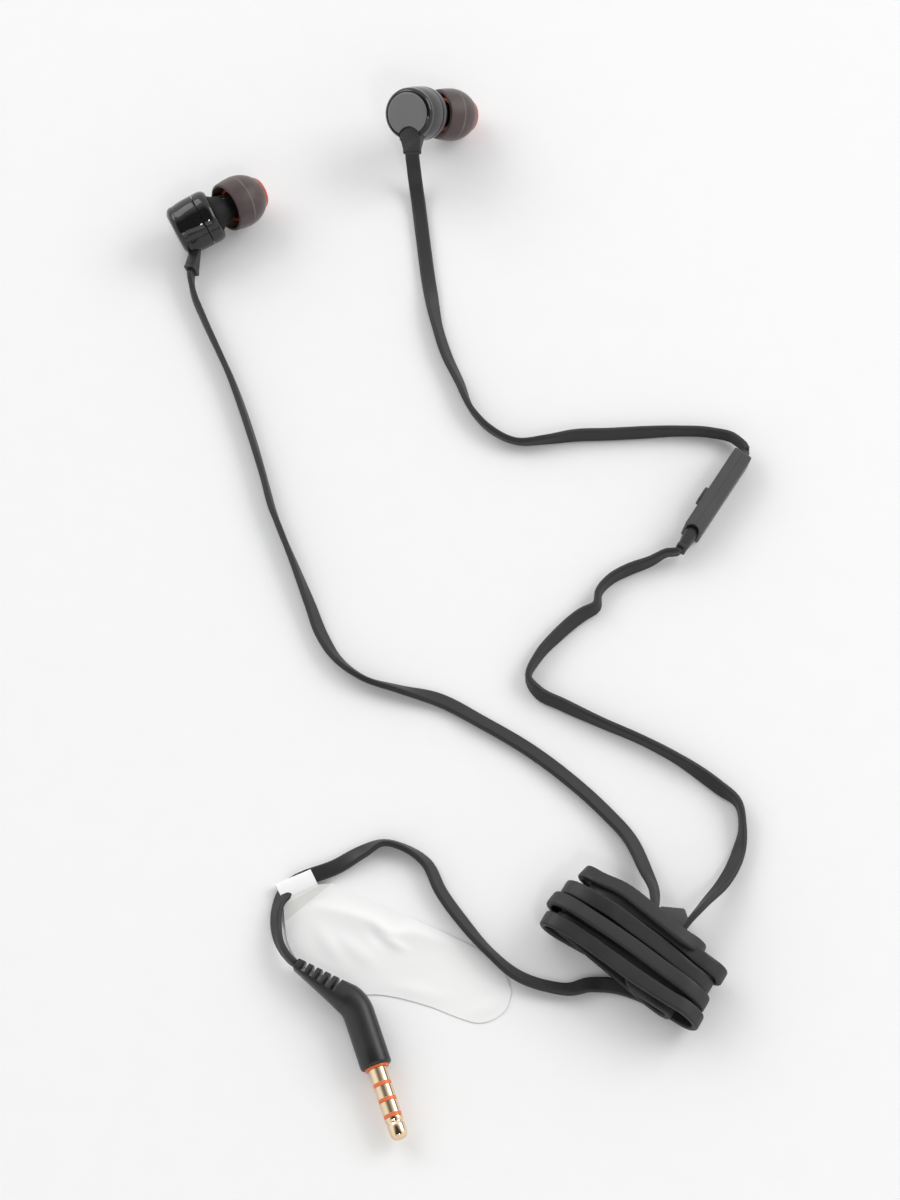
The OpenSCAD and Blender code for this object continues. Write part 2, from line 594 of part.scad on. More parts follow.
module remote_front_shell() {
    difference() {
        remote_blank();
        translate([-remote_length, -half_t - 1, -remote_width])
            cube([2 * remote_length, half_t + 1, 2 * remote_width]);
        remote_openings();
        button_pill(button_length + 2 * run, button_width + 2 * run, 0, half_t + 1);
        translate([mic_x, 0, 0]) rotate([-90, 0, 0]) cylinder(r = mic_hole, h = half_t + 1);
    }
}
module remote_rear_shell() {
    difference() {
        remote_blank();
        translate([-remote_length, 0, -remote_width]) cube([2 * remote_length, half_t + 1, 2 * remote_width]);
        remote_openings();
    }
    for (x = [-boss_x, boss_x]) translate([x, -room_t - cut, 0]) rotate([-90, 0, 0])
        cylinder(r = boss_r, h = room_t + cut + pcb_y);
}
module remote_button() {
    button_pill(button_length + flange_over, button_width + 2 * flange_side,
        button_low, button_low + button_flange);
    button_pill(button_length, button_width, button_low, button_shoulder);
    hull() {
        button_pill(button_length, button_width, button_shoulder - fit, button_shoulder);
        button_pill(button_length - 2 * cut, button_width - 2 * cut, button_shoulder, button_shoulder + cut);
    }
}
module remote_pcb() translate([0, pcb_y, 0]) rotate([-90, 0, 0]) slab(pcb_l, pcb_w, pcb_t);
module dome_switch() {
    translate([button_x, pcb_y + pcb_t, 0]) rotate([-90, 0, 0]) {
        slab(dome_base_l, dome_base_w, cut);
        turned_profile([[0, 0], [dome_r, 0], [dome_r, cut], [dome_r - 0.4, dome_h - fit], [0, dome_h]]);
    }
}
module mic_capsule() translate([mic_x, pcb_y + pcb_t, 0]) rotate([-90, 0, 0]) cylinder(r = mic_r, h = mic_h);
module mic_seal() {
    translate([mic_x, pcb_y + pcb_t + mic_h, 0]) rotate([-90, 0, 0])
        tube(mic_r, mic_hole + fit, 0, room_t - pcb_y - pcb_t - mic_h);
}
module upper_relief() {
    remote_bar(shell_wall, neck_t + cut, neck_w + cut, room_l - shell_wall / 2 - fit, upper_shift);
    remote_bar(upper_out - room_l + cut, neck_t, neck_w, (upper_out + room_l - cut) / 2, upper_shift);
}
module lower_relief() {
    remote_bar(shell_wall, neck_t + 0.5, neck_w + cut, shell_wall / 2 + fit - room_l);
    remote_bar(half_l - room_l + 0.8, neck_t, neck_w, -(half_l + room_l) / 2);
    hull() {
        translate([boot_x, 0, -half_w + 1.05]) cylinder(r = boot_r, h = remote_width - 2.1, $fn = facets);
        remote_bar(cut, boot_tip_t, boot_tip_w, collar_t - boot_tip);
    }
    remote_bar(collar_t, boot_tip_t + cut, boot_tip_w + cut, collar_t / 2 - boot_tip);
}

// Splitter halves: the lower one has sockets for the upper one's pegs
module splitter_half(low, high) translate([0, 0, low]) linear_extrude(high - low) polygon(split_outline);
module splitter_front() {
    splitter_half(mid_w, mid_w + split_h / 2);
    for (v = peg_v) translate([split_u, v, mid_w - peg_h]) cylinder(r = peg_r, h = peg_h + fit);
}
module splitter_back() {
    difference() {
        splitter_half(mid_w - split_h / 2, mid_w);
        for (v = peg_v) translate([split_u, v, mid_w - peg_h - run]) cylinder(r = peg_r + fit, h = peg_h + 1);
    }
}

// Plug pieces, with z along the barrel after placing
module barrel_band(start, end) tube(barrel_r, liner_r + fit, start, end);
module ground_sleeve() {
    barrel_band(0, sleeve_end);
    tube(shank_r, liner_r + fit, -tail_back, fit);
}
module plug_insulators() {
    tube(liner_r, pin_r + fit, -tail_back, tip_start);
    for (x = [sleeve_end, ring_2_end, ring_1_end]) tube(barrel_r, liner_r - fit, x, x + band);
}
module plug_tip() {
    turned_profile([[0, pin_end], [pin_r, pin_end],
        [pin_r, tip_start], [barrel_r, tip_start], [barrel_r, tip_start + 0.4], [liner_r, tip_start + 1.2],
        [liner_r, tip_start + 1.5], [barrel_r - fit, tip_start + 2.3], [barrel_r - 0.25, tip_start + 3.2],
        [pin_r, barrel_length - run], [0, barrel_length]]);
}
module plug_mould() {
    difference() {
        disc(mould_r, -mould_back, -plug_collar_t);
        disc(shank_r + fit, -tail_back - fit, 1);
        disc(pin_r + fit, -mould_back + 0.5, 1);
    }
}
module plug_housing() {
    rotate([0, 90, 0]) difference() {
        disc(grip_r, -grip_l, -plug_collar_t);
        disc(mould_r + fit, -mould_back - fit, 1);
    }
    translate([-grip_l, -bend_r, 0]) rotate([0, 0, 90 - bend_lap]) rotate_extrude(angle = bend + 2 * bend_lap)
        translate([bend_r, 0]) circle(r = grip_r - clear);
    translate([elbow[0], elbow[1], 0]) rotate([0, 0, 180 + bend]) difference() {
        hull() {
            rotate([0, 90, 0]) cylinder(r = taper_start_r, h = cut, $fn = facets);
            translate([taper_l - cut, -taper_w / 2, -taper_h / 2]) cube([cut, taper_w, taper_h]);
        }
        for (i = [0:slots - 1]) translate([slot_first + i * slot_pitch, -grip_d, -grip_d])
            cube([slot_w, grip_d - spine + taper_w / 2, 2 * grip_d]);
    }
}

// Label: the leaf and the flat sleeve are one folded film
module film_label() {
    translate(lay) linear_extrude(film) polygon(leaf);
    translate(lay + sleeve_at) rotate([0, 0, sleeve_turn]) difference() {
        slab(sleeve_l, cord_w + 2 * (sleeve_gap + sleeve_skin), sleeve_z + half_ct + sleeve_gap + sleeve_skin);
        translate([0, 0, sleeve_z - half_ct - sleeve_gap])
            slab(2 * sleeve_l, cord_w + 2 * sleeve_gap, cord_t + 2 * sleeve_gap);
    }
}

// Colours
matte_black = [0.09, 0.09, 0.1];
gloss_black = [0.03, 0.03, 0.035];
soft_black = [0.12, 0.12, 0.13];
smoke = [0.2, 0.14, 0.12];
orange = [0.85, 0.22, 0.08];
gold = [0.85, 0.68, 0.35];
steel = [0.7, 0.7, 0.72];
copper = [0.75, 0.42, 0.2];
board = [0.1, 0.3, 0.16];
white = [0.93, 0.92, 0.88];
clear_film = [0.8, 0.82, 0.85];

module left_rear_cap() color(matte_black) at_left() rear_cap();
module left_rear_housing() color(gloss_black) at_left() rear_housing();
module left_front_ring() color(gloss_black) at_left() front_ring();
module left_nozzle() color(matte_black) at_left() nozzle();
module left_nozzle_mesh() color(steel) at_left() nozzle_mesh();
module left_vent_mesh() color(steel) at_left() vent_mesh();
module left_tip_dome() color(smoke) at_left() tip_dome();
module left_tip_core() color(orange) at_left() tip_core();
module left_driver_frame() color(matte_black) at_left() driver_frame();
module left_driver_yoke() color(steel) at_left() driver_yoke();
module left_driver_magnet() color(steel) at_left() driver_magnet();
module left_driver_washer() color(steel) at_left() driver_washer();
module left_voice_coil() color(copper) at_left() voice_coil();
module left_diaphragm() color(clear_film) at_left() diaphragm();
module left_driver_pcb() color(board) at_left() driver_pcb();
module left_strain_relief() color(soft_black) at_left() strain_relief(left_lean);
module right_rear_cap() color(matte_black) at_right() rear_cap();
module right_rear_housing() color(gloss_black) at_right() rear_housing();
module right_front_ring() color(gloss_black) at_right() front_ring();
module right_nozzle() color(matte_black) at_right() nozzle();
module right_nozzle_mesh() color(steel) at_right() nozzle_mesh();
module right_vent_mesh() color(steel) at_right() vent_mesh();
module right_tip_dome() color(smoke) at_right() tip_dome(right_tip_out);
module right_tip_core() color(orange) at_right() tip_core(right_tip_out);
module right_driver_frame() color(matte_black) at_right() driver_frame();
module right_driver_yoke() color(steel) at_right() driver_yoke();
module right_driver_magnet() color(steel) at_right() driver_magnet();
module right_driver_washer() color(steel) at_right() driver_washer();
module right_voice_coil() color(copper) at_right() voice_coil();
module right_diaphragm() color(clear_film) at_right() diaphragm();
module right_driver_pcb() color(board) at_right() driver_pcb();
module right_strain_relief() color(soft_black) at_right() strain_relief(right_lean);
module remote_front() color(matte_black) at_remote() remote_front_shell();
module remote_rear() color(matte_black) at_remote() remote_rear_shell();
module remote_button_key() color(matte_black) at_remote() remote_button();
module remote_circuit_board() color(board) at_remote() remote_pcb();
module remote_dome_switch() color(steel) at_remote() dome_switch();
module remote_mic_capsule() color(steel) at_remote() mic_capsule();
module remote_mic_seal() color(soft_black) at_remote() mic_seal();
module remote_upper_relief() color(soft_black) at_remote() upper_relief();
module remote_lower_relief() color(soft_black) at_remote() lower_relief();
module splitter_upper_half() color(matte_black) at_pile() splitter_front();
module splitter_lower_half() color(matte_black) at_pile() splitter_back();
module plug_barrel_tip() color(gold) barrel_axis() plug_tip();
module plug_ring_1() color(gold) barrel_axis() barrel_band(ring_2_end + band, ring_1_end);
module plug_ring_2() color(gold) barrel_axis() barrel_band(sleeve_end + band, ring_2_end);
module plug_sleeve() color(gold) barrel_axis() ground_sleeve();
module plug_insulator_bands() color(orange) barrel_axis() plug_insulators();
module plug_collar() color(orange) barrel_axis() tube(collar_r, shank_r + fit, -plug_collar_t, 0);
module plug_inner_mould() color(matte_black) barrel_axis() plug_mould();
module plug_overmould() color(soft_black) at_plug() plug_housing();
module left_cord() color(soft_black) stretch(left_start, left_route, left_outlet);
module right_cord_upper() color(soft_black) stretch(right_start, right_upper, remote_upper);
module right_cord_lower() color(soft_black) stretch(remote_lower, right_lower, right_outlet);
module main_cord() color(soft_black) stretch(main_start, main_route, main_end);
module cord_hank() color(soft_black) at_pile() strip(pile, pile_headings, pile_widths, pile_section);
module cord_label() color(white) film_label();

left_rear_cap();
left_rear_housing();
left_front_ring();
left_nozzle();
left_nozzle_mesh();
left_vent_mesh();
left_tip_dome();
left_tip_core();
left_driver_frame();
left_driver_yoke();
left_driver_magnet();
left_driver_washer();
left_voice_coil();
left_diaphragm();
left_driver_pcb();
left_strain_relief();
right_rear_cap();
right_rear_housing();
right_front_ring();
right_nozzle();
right_nozzle_mesh();
right_vent_mesh();
right_tip_dome();
right_tip_core();
right_driver_frame();
right_driver_yoke();
right_driver_magnet();
right_driver_washer();
right_voice_coil();
right_diaphragm();
right_driver_pcb();
right_strain_relief();
remote_front();
remote_rear();
remote_button_key();
remote_circuit_board();
remote_dome_switch();
remote_mic_capsule();
remote_mic_seal();
remote_upper_relief();
remote_lower_relief();
splitter_upper_half();
splitter_lower_half();
plug_barrel_tip();
plug_ring_1();
plug_ring_2();
plug_sleeve();
plug_insulator_bands();
plug_collar();
plug_inner_mould();
plug_overmould();
left_cord();
right_cord_upper();
right_cord_lower();
main_cord();
cord_hank();
cord_label();
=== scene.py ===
"""Wired in-ear earphones: two earpieces with soft tips, a remote, a splitter, a wound flat cord and a plug.

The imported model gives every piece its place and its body. Each section below finishes one piece or pair,
and replaces the plain solid where the real thing is moulded, wound, stretched or creased."""
import math

import bmesh
import bpy
import numpy as np
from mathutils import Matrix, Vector


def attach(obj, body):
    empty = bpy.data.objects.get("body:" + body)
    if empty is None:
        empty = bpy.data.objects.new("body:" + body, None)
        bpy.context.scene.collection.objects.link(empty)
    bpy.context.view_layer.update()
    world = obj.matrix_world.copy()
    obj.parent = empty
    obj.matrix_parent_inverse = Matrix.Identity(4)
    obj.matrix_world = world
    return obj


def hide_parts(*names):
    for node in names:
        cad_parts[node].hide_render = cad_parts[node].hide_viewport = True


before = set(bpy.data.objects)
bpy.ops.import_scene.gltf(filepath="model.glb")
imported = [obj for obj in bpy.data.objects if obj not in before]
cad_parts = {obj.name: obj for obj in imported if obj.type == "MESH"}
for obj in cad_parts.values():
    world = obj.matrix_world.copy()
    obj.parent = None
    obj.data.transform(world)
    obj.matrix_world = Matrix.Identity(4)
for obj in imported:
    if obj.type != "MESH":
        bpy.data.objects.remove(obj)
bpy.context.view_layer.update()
scene = bpy.context.scene
MM = 0.001

# ---- Camera ----
# A portrait lens just over half a metre away, looking down at the table from the plug's side. The whole set
# is in view, from the two earpieces at the top to the plug at the bottom.
aim = Vector((27.2, -95.8, 0.0)) * MM
eye = Vector((27.2, -310.7, 506.3)) * MM
lens = bpy.data.cameras.new("table_camera")
lens.sensor_fit = "VERTICAL"
lens.sensor_height = 36.0
lens.lens = 81.7
lens.clip_start = 0.01
camera = bpy.data.objects.new("table_camera", lens)
camera.location = eye
camera.rotation_euler = (aim - eye).to_track_quat("-Z", "Y").to_euler()
scene.collection.objects.link(camera)
scene.camera = camera

# ---- Cord, free stretches ----
# Flat rubber-jacketed cord, 3.0 by 1.2 mm with rounded edges. It lies on the table mostly on edge or
# leaning, with slow twists that it kept from the box. The jacket is matte black with a faint grain and a
# little dust.
CORD_W, CORD_T = 3.0, 1.2
JACKET_CORNER, JACKET_CROWN = 0.42, 0.02
SHIFT = np.array([-0.8, 0.2, 0.0])  # how the whole plan is laid under the earpieces
ABOVE = 0.03  # how far the cord clears the table


def unit(v):
    v = np.asarray(v, float)
    return v / np.linalg.norm(v, axis=-1, keepdims=True)


def cos_sin(degrees):
    return np.cos(np.radians(degrees)), np.sin(np.radians(degrees))


def arc(at, reach, start, stop, count, power=1.0):
    """Points round at, from start to stop degrees, as far off along each axis as reach says."""
    bend = zip(*cos_sin(np.linspace(start, stop, count)))
    return [(at[0] + reach[0] * c ** power, at[1] + reach[1] * s ** power) for c, s in bend]


def through(knots, values, at, first=None, last=None):
    """A smooth curve through values at knots, read at each of at."""
    knots, values = np.asarray(knots, float), np.asarray(values, float)
    gaps = np.diff(knots)[:, None]
    steep = np.diff(values, axis=0) / gaps
    slopes = np.empty_like(values)
    slopes[1:-1] = (steep[:-1] * gaps[1:] + steep[1:] * gaps[:-1]) / (gaps[:-1] + gaps[1:])
    slopes[0] = steep[0] if first is None else first
    slopes[-1] = steep[-1] if last is None else last
    k = np.clip(np.searchsorted(knots, at, side="right") - 1, 0, len(knots) - 2)
    h = gaps[k]
    t = ((np.asarray(at) - knots[k]) / gaps[k][:, 0])[:, None]
    return (
        (2 * t**3 - 3 * t**2 + 1) * values[k] + (t**3 - 2 * t**2 + t) * h * slopes[k]
        + (3 * t**2 - 2 * t**3) * values[k + 1] + (t**3 - t**2) * h * slopes[k + 1]
    )


def distances(points):
    """How far along the path each point lies."""
    return np.concatenate([[0], np.cumsum(np.linalg.norm(np.diff(points, axis=0), axis=1))])


def squared(widths, ahead):
    """Width directions made square to the way ahead."""
    return unit(widths - ahead * np.sum(widths * ahead, axis=1, keepdims=True))


def corner_arcs(w, t, corner, steps):
    """The four rounded corners of a section w wide and t thick."""
    return [arc((x * (w / 2 - corner), y * (t / 2 - corner)), (corner, corner), turn, turn + 90, steps)
            for turn, x, y in ((0, 1, 1), (90, -1, 1), (180, -1, -1), (270, 1, -1))]


def jacket_outline():
    """The cord's section: full corners, and flats with a slight crown."""
    share = np.array([0.12, 0.5, 0.88])
    crown = np.column_stack([(CORD_W / 2 - JACKET_CORNER) * (1 - 2 * share),
                             CORD_T / 2 + JACKET_CROWN * (1 - (2 * share - 1) ** 2)])
    first, second, third, fourth = corner_arcs(CORD_W, CORD_T, JACKET_CORNER, 5)
    return np.vstack([first, crown, second, third, -crown, fourth])


def mesh_piece(name, points, faces):
    """An object from points in millimetres."""
    mesh = bpy.data.meshes.new(name)
    mesh.from_pydata([tuple(p * MM) for p in np.asarray(points, float)], [], faces)
    mesh.update()
    for face in mesh.polygons:
        face.use_smooth = True
    piece = bpy.data.objects.new(name, mesh)
    scene.collection.objects.link(piece)
    return piece


def wall_faces(n, m, joined=False):
    """The faces between n rings of m points, the last ring joined to the first if asked."""
    faces = []
    for i in range(n if joined else n - 1):
        a, b = i * m, (i + 1) % n * m
        faces += [(a + k, a + (k + 1) % m, b + (k + 1) % m, b + k) for k in range(m)]
    return faces


def swept(name, centres, ahead, widths):
    """The jacket's skin along the centres, closed at both ends."""
    outline, across = jacket_outline()[None, :, :, None], squared(widths, ahead)
    normal = np.cross(ahead, across)
    rings = centres[:, None] + outline[:, :, 0] * across[:, None] + outline[:, :, 1] * normal[:, None]
    n, m = rings.shape[:2]
    faces = [tuple(range(m))[::-1], *wall_faces(n, m), tuple(range((n - 1) * m, n * m))]
    return mesh_piece(name, rings.reshape(-1, 3), faces)


def lay_cord(start, route, end, step=0.9):
    """Centres, headings and widths between two end faces, along rows of x, y, roll and lift."""
    x, y, roll, lift = np.array(route, float).T
    outline, (c, s) = jacket_outline(), cos_sin(roll)
    low = np.max(outline @ [s, c], axis=0)
    mids = np.column_stack([x, y, low + lift + ABOVE]) + SHIFT
    knots = np.vstack([start[0], mids, end[0]])
    chords = unit(np.vstack([start[1], mids[1:] - mids[:-1], end[1]]))
    ahead = unit(chords[:-1] + chords[1:])
    level = unit(np.cross([0, 0, 1], ahead))
    lean = level * c[:, None] + np.cross(ahead, level) * s[:, None]
    first = np.array(start[2]) * (1 if np.dot(start[2], lean[0]) > 0 else -1)
    final = np.array(end[2]) * (1 if np.dot(end[2], lean[-1]) > 0 else -1)
    along = distances(knots)
    at = np.linspace(0, along[-1], int(along[-1] / step) + 1)
    centres = through(along, knots, at, start[1], end[1])
    widths = unit(through(along, np.vstack([first, lean, final]), at))
    ahead = unit(np.gradient(centres, axis=0))
    ahead[0], ahead[-1] = start[1], end[1]
    across = squared(widths, ahead)
    depth = -np.min(outline @ [across[:, 2], np.cross(ahead, across)[:, 2]], axis=0)
    centres[:, 2] = np.maximum(centres[:, 2], depth + ABOVE)
    return centres, ahead, across


def shaded(name):
    """A new material, its nodes and its shader."""
    material = bpy.data.materials.new(name)
    material.use_nodes = True
    return material, material.node_tree, material.node_tree.nodes["Principled BSDF"]


def preset(node, **values):
    """Sets the inputs of a node by name, with _ for a space."""
    for socket, value in values.items():
        node.inputs[socket.replace("_", " ")].default_value = value
    return node


def added(tree, kind, settings=(), **values):
    """A new node with its settings and the values of its inputs."""
    node = tree.nodes.new("ShaderNode" + kind)
    for setting, value in settings:
        setattr(node, setting, value)
    return preset(node, **values)


def ramp(tree, low, dark, high, light):
    """A colour ramp from dark at low to light at high."""
    node = added(tree, "ValToRGB")
    for element, position, colour in zip(node.color_ramp.elements, (low, high), (dark, light)):
        element.position = position
        element.color = (*colour, 1)
    return node


def wired(tree, *joins):
    """Joins outputs to inputs, each given as node, output, node, input."""
    for source, output, target, socket in joins:
        tree.links.new(source.outputs[output], target.inputs[socket])


def relieved(tree, source, output, strength, depth):
    """Lets a texture raise the surface, by up to depth in metres."""
    bump = added(tree, "Bump", Strength=strength, Distance=depth)
    wired(tree, (source, output, bump, "Height"), (bump, "Normal", tree.nodes["Principled BSDF"], "Normal"))


def jacket_rubber():
    """Matte black rubber: drawn grain, dust and small scuffs."""
    material, tree, shader = shaded("cord_rubber")
    where = added(tree, "TexCoord")
    grain = added(tree, "TexNoise", Scale=2600.0, Detail=4.0, Roughness=0.6)
    patches = added(tree, "TexNoise", Scale=160.0, Detail=3.0)
    dust = added(tree, "TexVoronoi", Scale=420.0)
    specks = ramp(tree, 0.035, (1, 1, 1), 0.075, (0, 0, 0))
    tone = ramp(tree, 0.3, (0.011, 0.011, 0.012), 0.72, (0.017, 0.017, 0.018))
    dusty = added(tree, "Mix", [("data_type", "RGBA")], B=(0.060, 0.059, 0.057, 1))
    few = added(tree, "Math", [("operation", "MULTIPLY")])
    gloss = added(tree, "MapRange", From_Min=0.3, From_Max=0.7, To_Min=0.46, To_Max=0.60)
    wired(tree, *((where, "Object", texture, "Vector") for texture in (grain, patches, dust)))
    wired(tree, (patches, "Fac", tone, "Fac"), (dust, "Distance", specks, "Fac"), (specks, "Color", few, 0),
          (patches, "Fac", few, 1), (few, "Value", dusty, "Factor"), (tone, "Color", dusty, "A"),
          (dusty, "Result", shader, "Base Color"), (patches, "Fac", gloss, "Value"),
          (gloss, "Result", shader, "Roughness"))
    relieved(tree, grain, "Fac", 0.25, 0.00003)
    return material


rubber = jacket_rubber()

# ---- Wound cord ----
# The spare length of the lead, wound nine times round the fingers and dropped on the table: four small
# loops inside, five larger ones over them. The upper runs fan out and overlap like shingles, and the last
# one leads to the plug.
PILE_AT, PILE_TURN = np.array([61.2, -169.8, 0.0]), -32.7
MID_W, LEAD_U = 4.85, 3.4
LOOPS = [
    dict(u=(-9, 0, 9), v=(-6.3, -6.3, -6.0), w=(6.9, 7.0, 6.9), lean=(0, 0, 0),
         left=(13.6, -6.3), right=(13.0, -6.0), low=2.6),
    dict(u=(-9, 0, 9), v=(-2.5, -2.6, -2.4), w=(7.0, 7.1, 7.0), lean=(0, 0, 0),
         left=(14.8, -2.5), right=(14.4, -2.4), low=2.5),
    dict(u=(-9, 0, 9), v=(1.2, 1.1, 1.1), w=(7.0, 7.1, 7.0), lean=(0, 0, 0),
         left=(14.6, 1.2), right=(14.6, 1.1), low=2.5),
    dict(u=(-4, 2, 8), v=(4.9, 4.8, 4.6), w=(6.5, 6.6, 6.6), lean=(8, 8, 8),
         left=(9.6, 4.9), right=(12.6, 5.4), low=2.6),
    dict(u=(-11.8, -6.5, -1, 4.5, 8.6), v=(7.7, 8.2, 7.5, 6.7, 6.2), w=(8.7, 9.2, 9.7, 9.9, 9.8),
         lean=(-20, -14, -14, -16, -20), left=(15.0, 8.4), right=(11.8, 7.4), low=0.7, rise=2.2),
    dict(u=(-9, -4, 2, 8, 14), v=(5.6, 6.0, 6.0, 5.5, 4.6), w=(8.0, 8.1, 8.1, 8.2, 8.3),
         lean=(2, 0, -4, -4, -2), left=(12.4, 6.6), right=(17.6, 5.0), low=0.7),
    dict(u=(-13, -6.7, 0, 6.5, 12), v=(3.5, 3.6, 3.0, 2.4, 1.6), w=(9.0, 9.3, 9.3, 9.0, 8.4),
         lean=(4, 5, 4, 0, 0), left=(16.4, 3.7), right=(16.4, 1.4), low=0.7),
    dict(u=(-14, -7.6, 0, 8, 14.5), v=(0.4, 0.2, -0.2, -0.9, -1.4), w=(8.8, 9.1, 9.2, 9.1, 8.7),
         lean=(-10, -8, -6, -6, -4), left=(17.4, 0.5), right=(17.4, -1.7), low=0.7),
    dict(u=(-8.5, -2.8, 4, 11, 15.5), v=(-3.7, -4.2, -4.8, -5.0, -4.9), w=(8.0, 8.3, 8.6, 8.6, 8.3),
         lean=(4, 2, 0, -4, -6), left=(16.6, -3.2), right=(18.2, -5.1), low=0.7),
]


def turn_matrix(x, y, z):
    """Turns about x, then y, then z, in degrees."""
    (a, b), (c, d), (e, f) = (cos_sin(angle) for angle in (x, y, z))
    about_x = np.array([[1, 0, 0], [0, a, -b], [0, b, a]])
    about_y = np.array([[c, 0, d], [0, 1, 0], [-d, 0, c]])
    about_z = np.array([[e, -f, 0], [f, e, 0], [0, 0, 1]])
    return about_z @ about_y @ about_x


def placed(at, turn, hand=1.0):
    """Takes points of a piece's own frame to their place, mirrored where hand is -1."""
    return lambda points: at + (np.asarray(points, float) * [hand, 1, 1]) @ turn.T


on_pile = placed(PILE_AT, turn_matrix(0, 0, PILE_TURN))


def loop_points(this, after):
    """Rows of u, v, w and lean round one loop: over the top to the right, down, and back under to the next.

    u, v, w and lean say where its upper run passes, and left and right how far it reaches, each with its own
    v. Its lower run lies at low, and what comes up into the upper run starts from rise, if that is given."""
    rows = list(zip(this["u"], this["v"], this["w"], this["lean"]))
    (out, out_v), low, v, lean = this["right"], this["low"], this["v"][-1], this["lean"][-1]
    r = (this["w"][-1] - low) / 2
    for a in (50, 20, -10, -45):
        (c, s), share = cos_sin(a), (90 - a) / 180
        rows.append((out - r + r * c, v + (out_v - v) * share, low + r + r * s, lean * (1 - share)))
    (back, back_v), next_low = after["left"], after.get("rise", after["low"])
    rise = (after["w"][0] - next_low) / 2
    start, stop = out - r, rise - back
    for share in (0.1, 0.37, 0.63, 0.9):
        rows.append((start + (stop - start) * share, out_v + (back_v - out_v) * share,
                     low + (next_low - low) * share, 0.0))
    for a in (225, 190, 160, 130):
        (c, s), share = cos_sin(a), (270 - a) / 180
        rows.append((rise - back + rise * c, back_v + (after["v"][0] - back_v) * share,
                     next_low + rise + rise * s, after["lean"][0] * share))
    return rows


def wound_path():
    """From the splitter round every loop, to where the last one has come down."""
    rows = [(LEAD_U, -1.5, MID_W, 0.0), (LEAD_U, -4.5, MID_W, 0.0)]
    for k, this in enumerate(LOOPS):
        here = loop_points(this, LOOPS[min(k + 1, len(LOOPS) - 1)])
        rows += here[2:] if k == 0 else here
    return np.array(rows[:-7])


def wound_centres(step=0.7):
    rows = wound_path()
    points = on_pile(rows[:, :3])
    along = distances(points)
    at = np.linspace(0, along[-1], int(along[-1] / step) + 1)
    centres = through(along, points, at)
    c, s = cos_sin(through(along, rows[:, 3:4], at))
    for _ in range(2):
        centres[1:-1] = (centres[:-2] + 2 * centres[1:-1] + centres[2:]) / 4
    ahead = unit(np.gradient(centres, axis=0))
    across = squared(turn_matrix(0, 0, PILE_TURN)[:, 1], ahead)
    return centres, ahead, across * c + np.cross(ahead, across) * s


LEFT_ROUTE = [
    (-26.4, -25.5, -90, 0.3), (-24, -32, -90, 0), (-20.7, -39.5, -85, 0), (-17.9, -45.9, -80, 0),
    (-15.4, -52.7, -75, 0), (-12.7, -61, -75, 0), (-10.2, -69.5, -80, 0), (-8.2, -76.8, -79, 0),
    (-7.1, -79.8, -86, 0), (-3.6, -88.6, -75, 0), (-0.2, -97.5, -55, 0), (2.5, -104.6, -45, 0),
    (5.4, -109.3, -60, 0), (10.5, -113.4, -70, 0), (18.1, -115.9, -55, 0), (25.6, -117.9, -20, 0),
    (34.3, -122.7, -25, 0), (44, -128.8, -22, 0), (52.5, -135.7, -25, 0), (58.5, -141.6, -27, 0),
    (62.8, -146.8, -30, 0.3), (65.6, -153.5, -36, 1.4), (67.2, -159.2, -60, 2.9)]
RIGHT_UPPER_ROUTE = [
    (20.2, 2.6, 0, 4.4), (20.6, 0.4, 0, 1.7), (21.2, -3.6, 0, 0.4), (22, -10.5, 0, 0.1),
    (23.8, -25.2, -15, 0), (25.2, -33.5, -50, 0), (27.4, -41.2, -50, 0), (29.9, -47.1, -60, 0),
    (32.4, -53.5, -78, 0), (36.1, -58, -80, 0), (41.5, -61, -75, 0), (48, -60.6, -90, 0),
    (53.7, -59.7, -110, 0), (61, -59.4, -110, 0), (68, -59, -110, 0), (75, -58.7, -98, 0),
    (82.2, -59.2, -95, 0.2), (86.6, -60.8, -93, 0.7)]
RIGHT_LOWER_ROUTE = [
    (71.7, -86.6, -90, 0.7), (68.8, -88.1, -80, 0.2), (64, -90, -70, 0), (60.4, -92.1, -75, 0),
    (57.9, -95.2, -80, 0), (57.6, -97.8, -70, 0), (54.5, -99.8, -50, 0), (49.6, -104.2, -58, 0),
    (45.6, -108.9, -75, 0), (43.6, -113.6, -90, 0), (45.6, -116.6, -115, 0), (50.2, -119.1, -115, 0),
    (58, -123, -100, 0), (65.4, -126.4, -95, 0), (72.5, -130.4, -103, 0), (80.7, -136.5, -125, 0),
    (84.3, -139.8, -95, 0), (84.9, -144, -95, 0), (83.6, -150.6, -140, 0.2), (80.6, -156.3, -138, 1.5),
    (76.6, -161, -112, 2.8)]
MAIN_ROUTE = [
    (56.6, -175.8, 0, 0), (54.3, -175.9, 15, 0), (51, -176.8, 32, 0), (46.5, -176.3, 42, 0.1),
    (41.3, -174.5, 45, 0.3), (35.2, -169.4, 58, 0.3), (30.3, -163.5, 45, 0.2), (26.2, -157.5, 45, 0),
    (23.3, -151.7, 52, 0), (19.5, -149, 64, 0), (15, -147.8, 65, 0), (11, -149.6, 30, 0.2),
    (6.6, -152.2, 0, 0.4), (-3.2, -157, 0, 0.4), (-5, -160.4, 50, 0.2), (-5.2, -165.4, 62, 0.3),
    (-4, -169.2, 78, 1)]
LEFT_RELIEF_END = ((-27.594, -21.196, 2.338), (-0.148, -0.989, 0.004), (0.211, -0.036, -0.977))
RIGHT_RELIEF_END = ((19.134, 4.067, 9.611), (-0.030, -0.242, -0.970), (0.999, 0.006, -0.032))
REMOTE_TOP = ((87.920, -64.256, 2.662), (-0.537, -0.843, 0.0), (0.084, -0.053, 0.995))
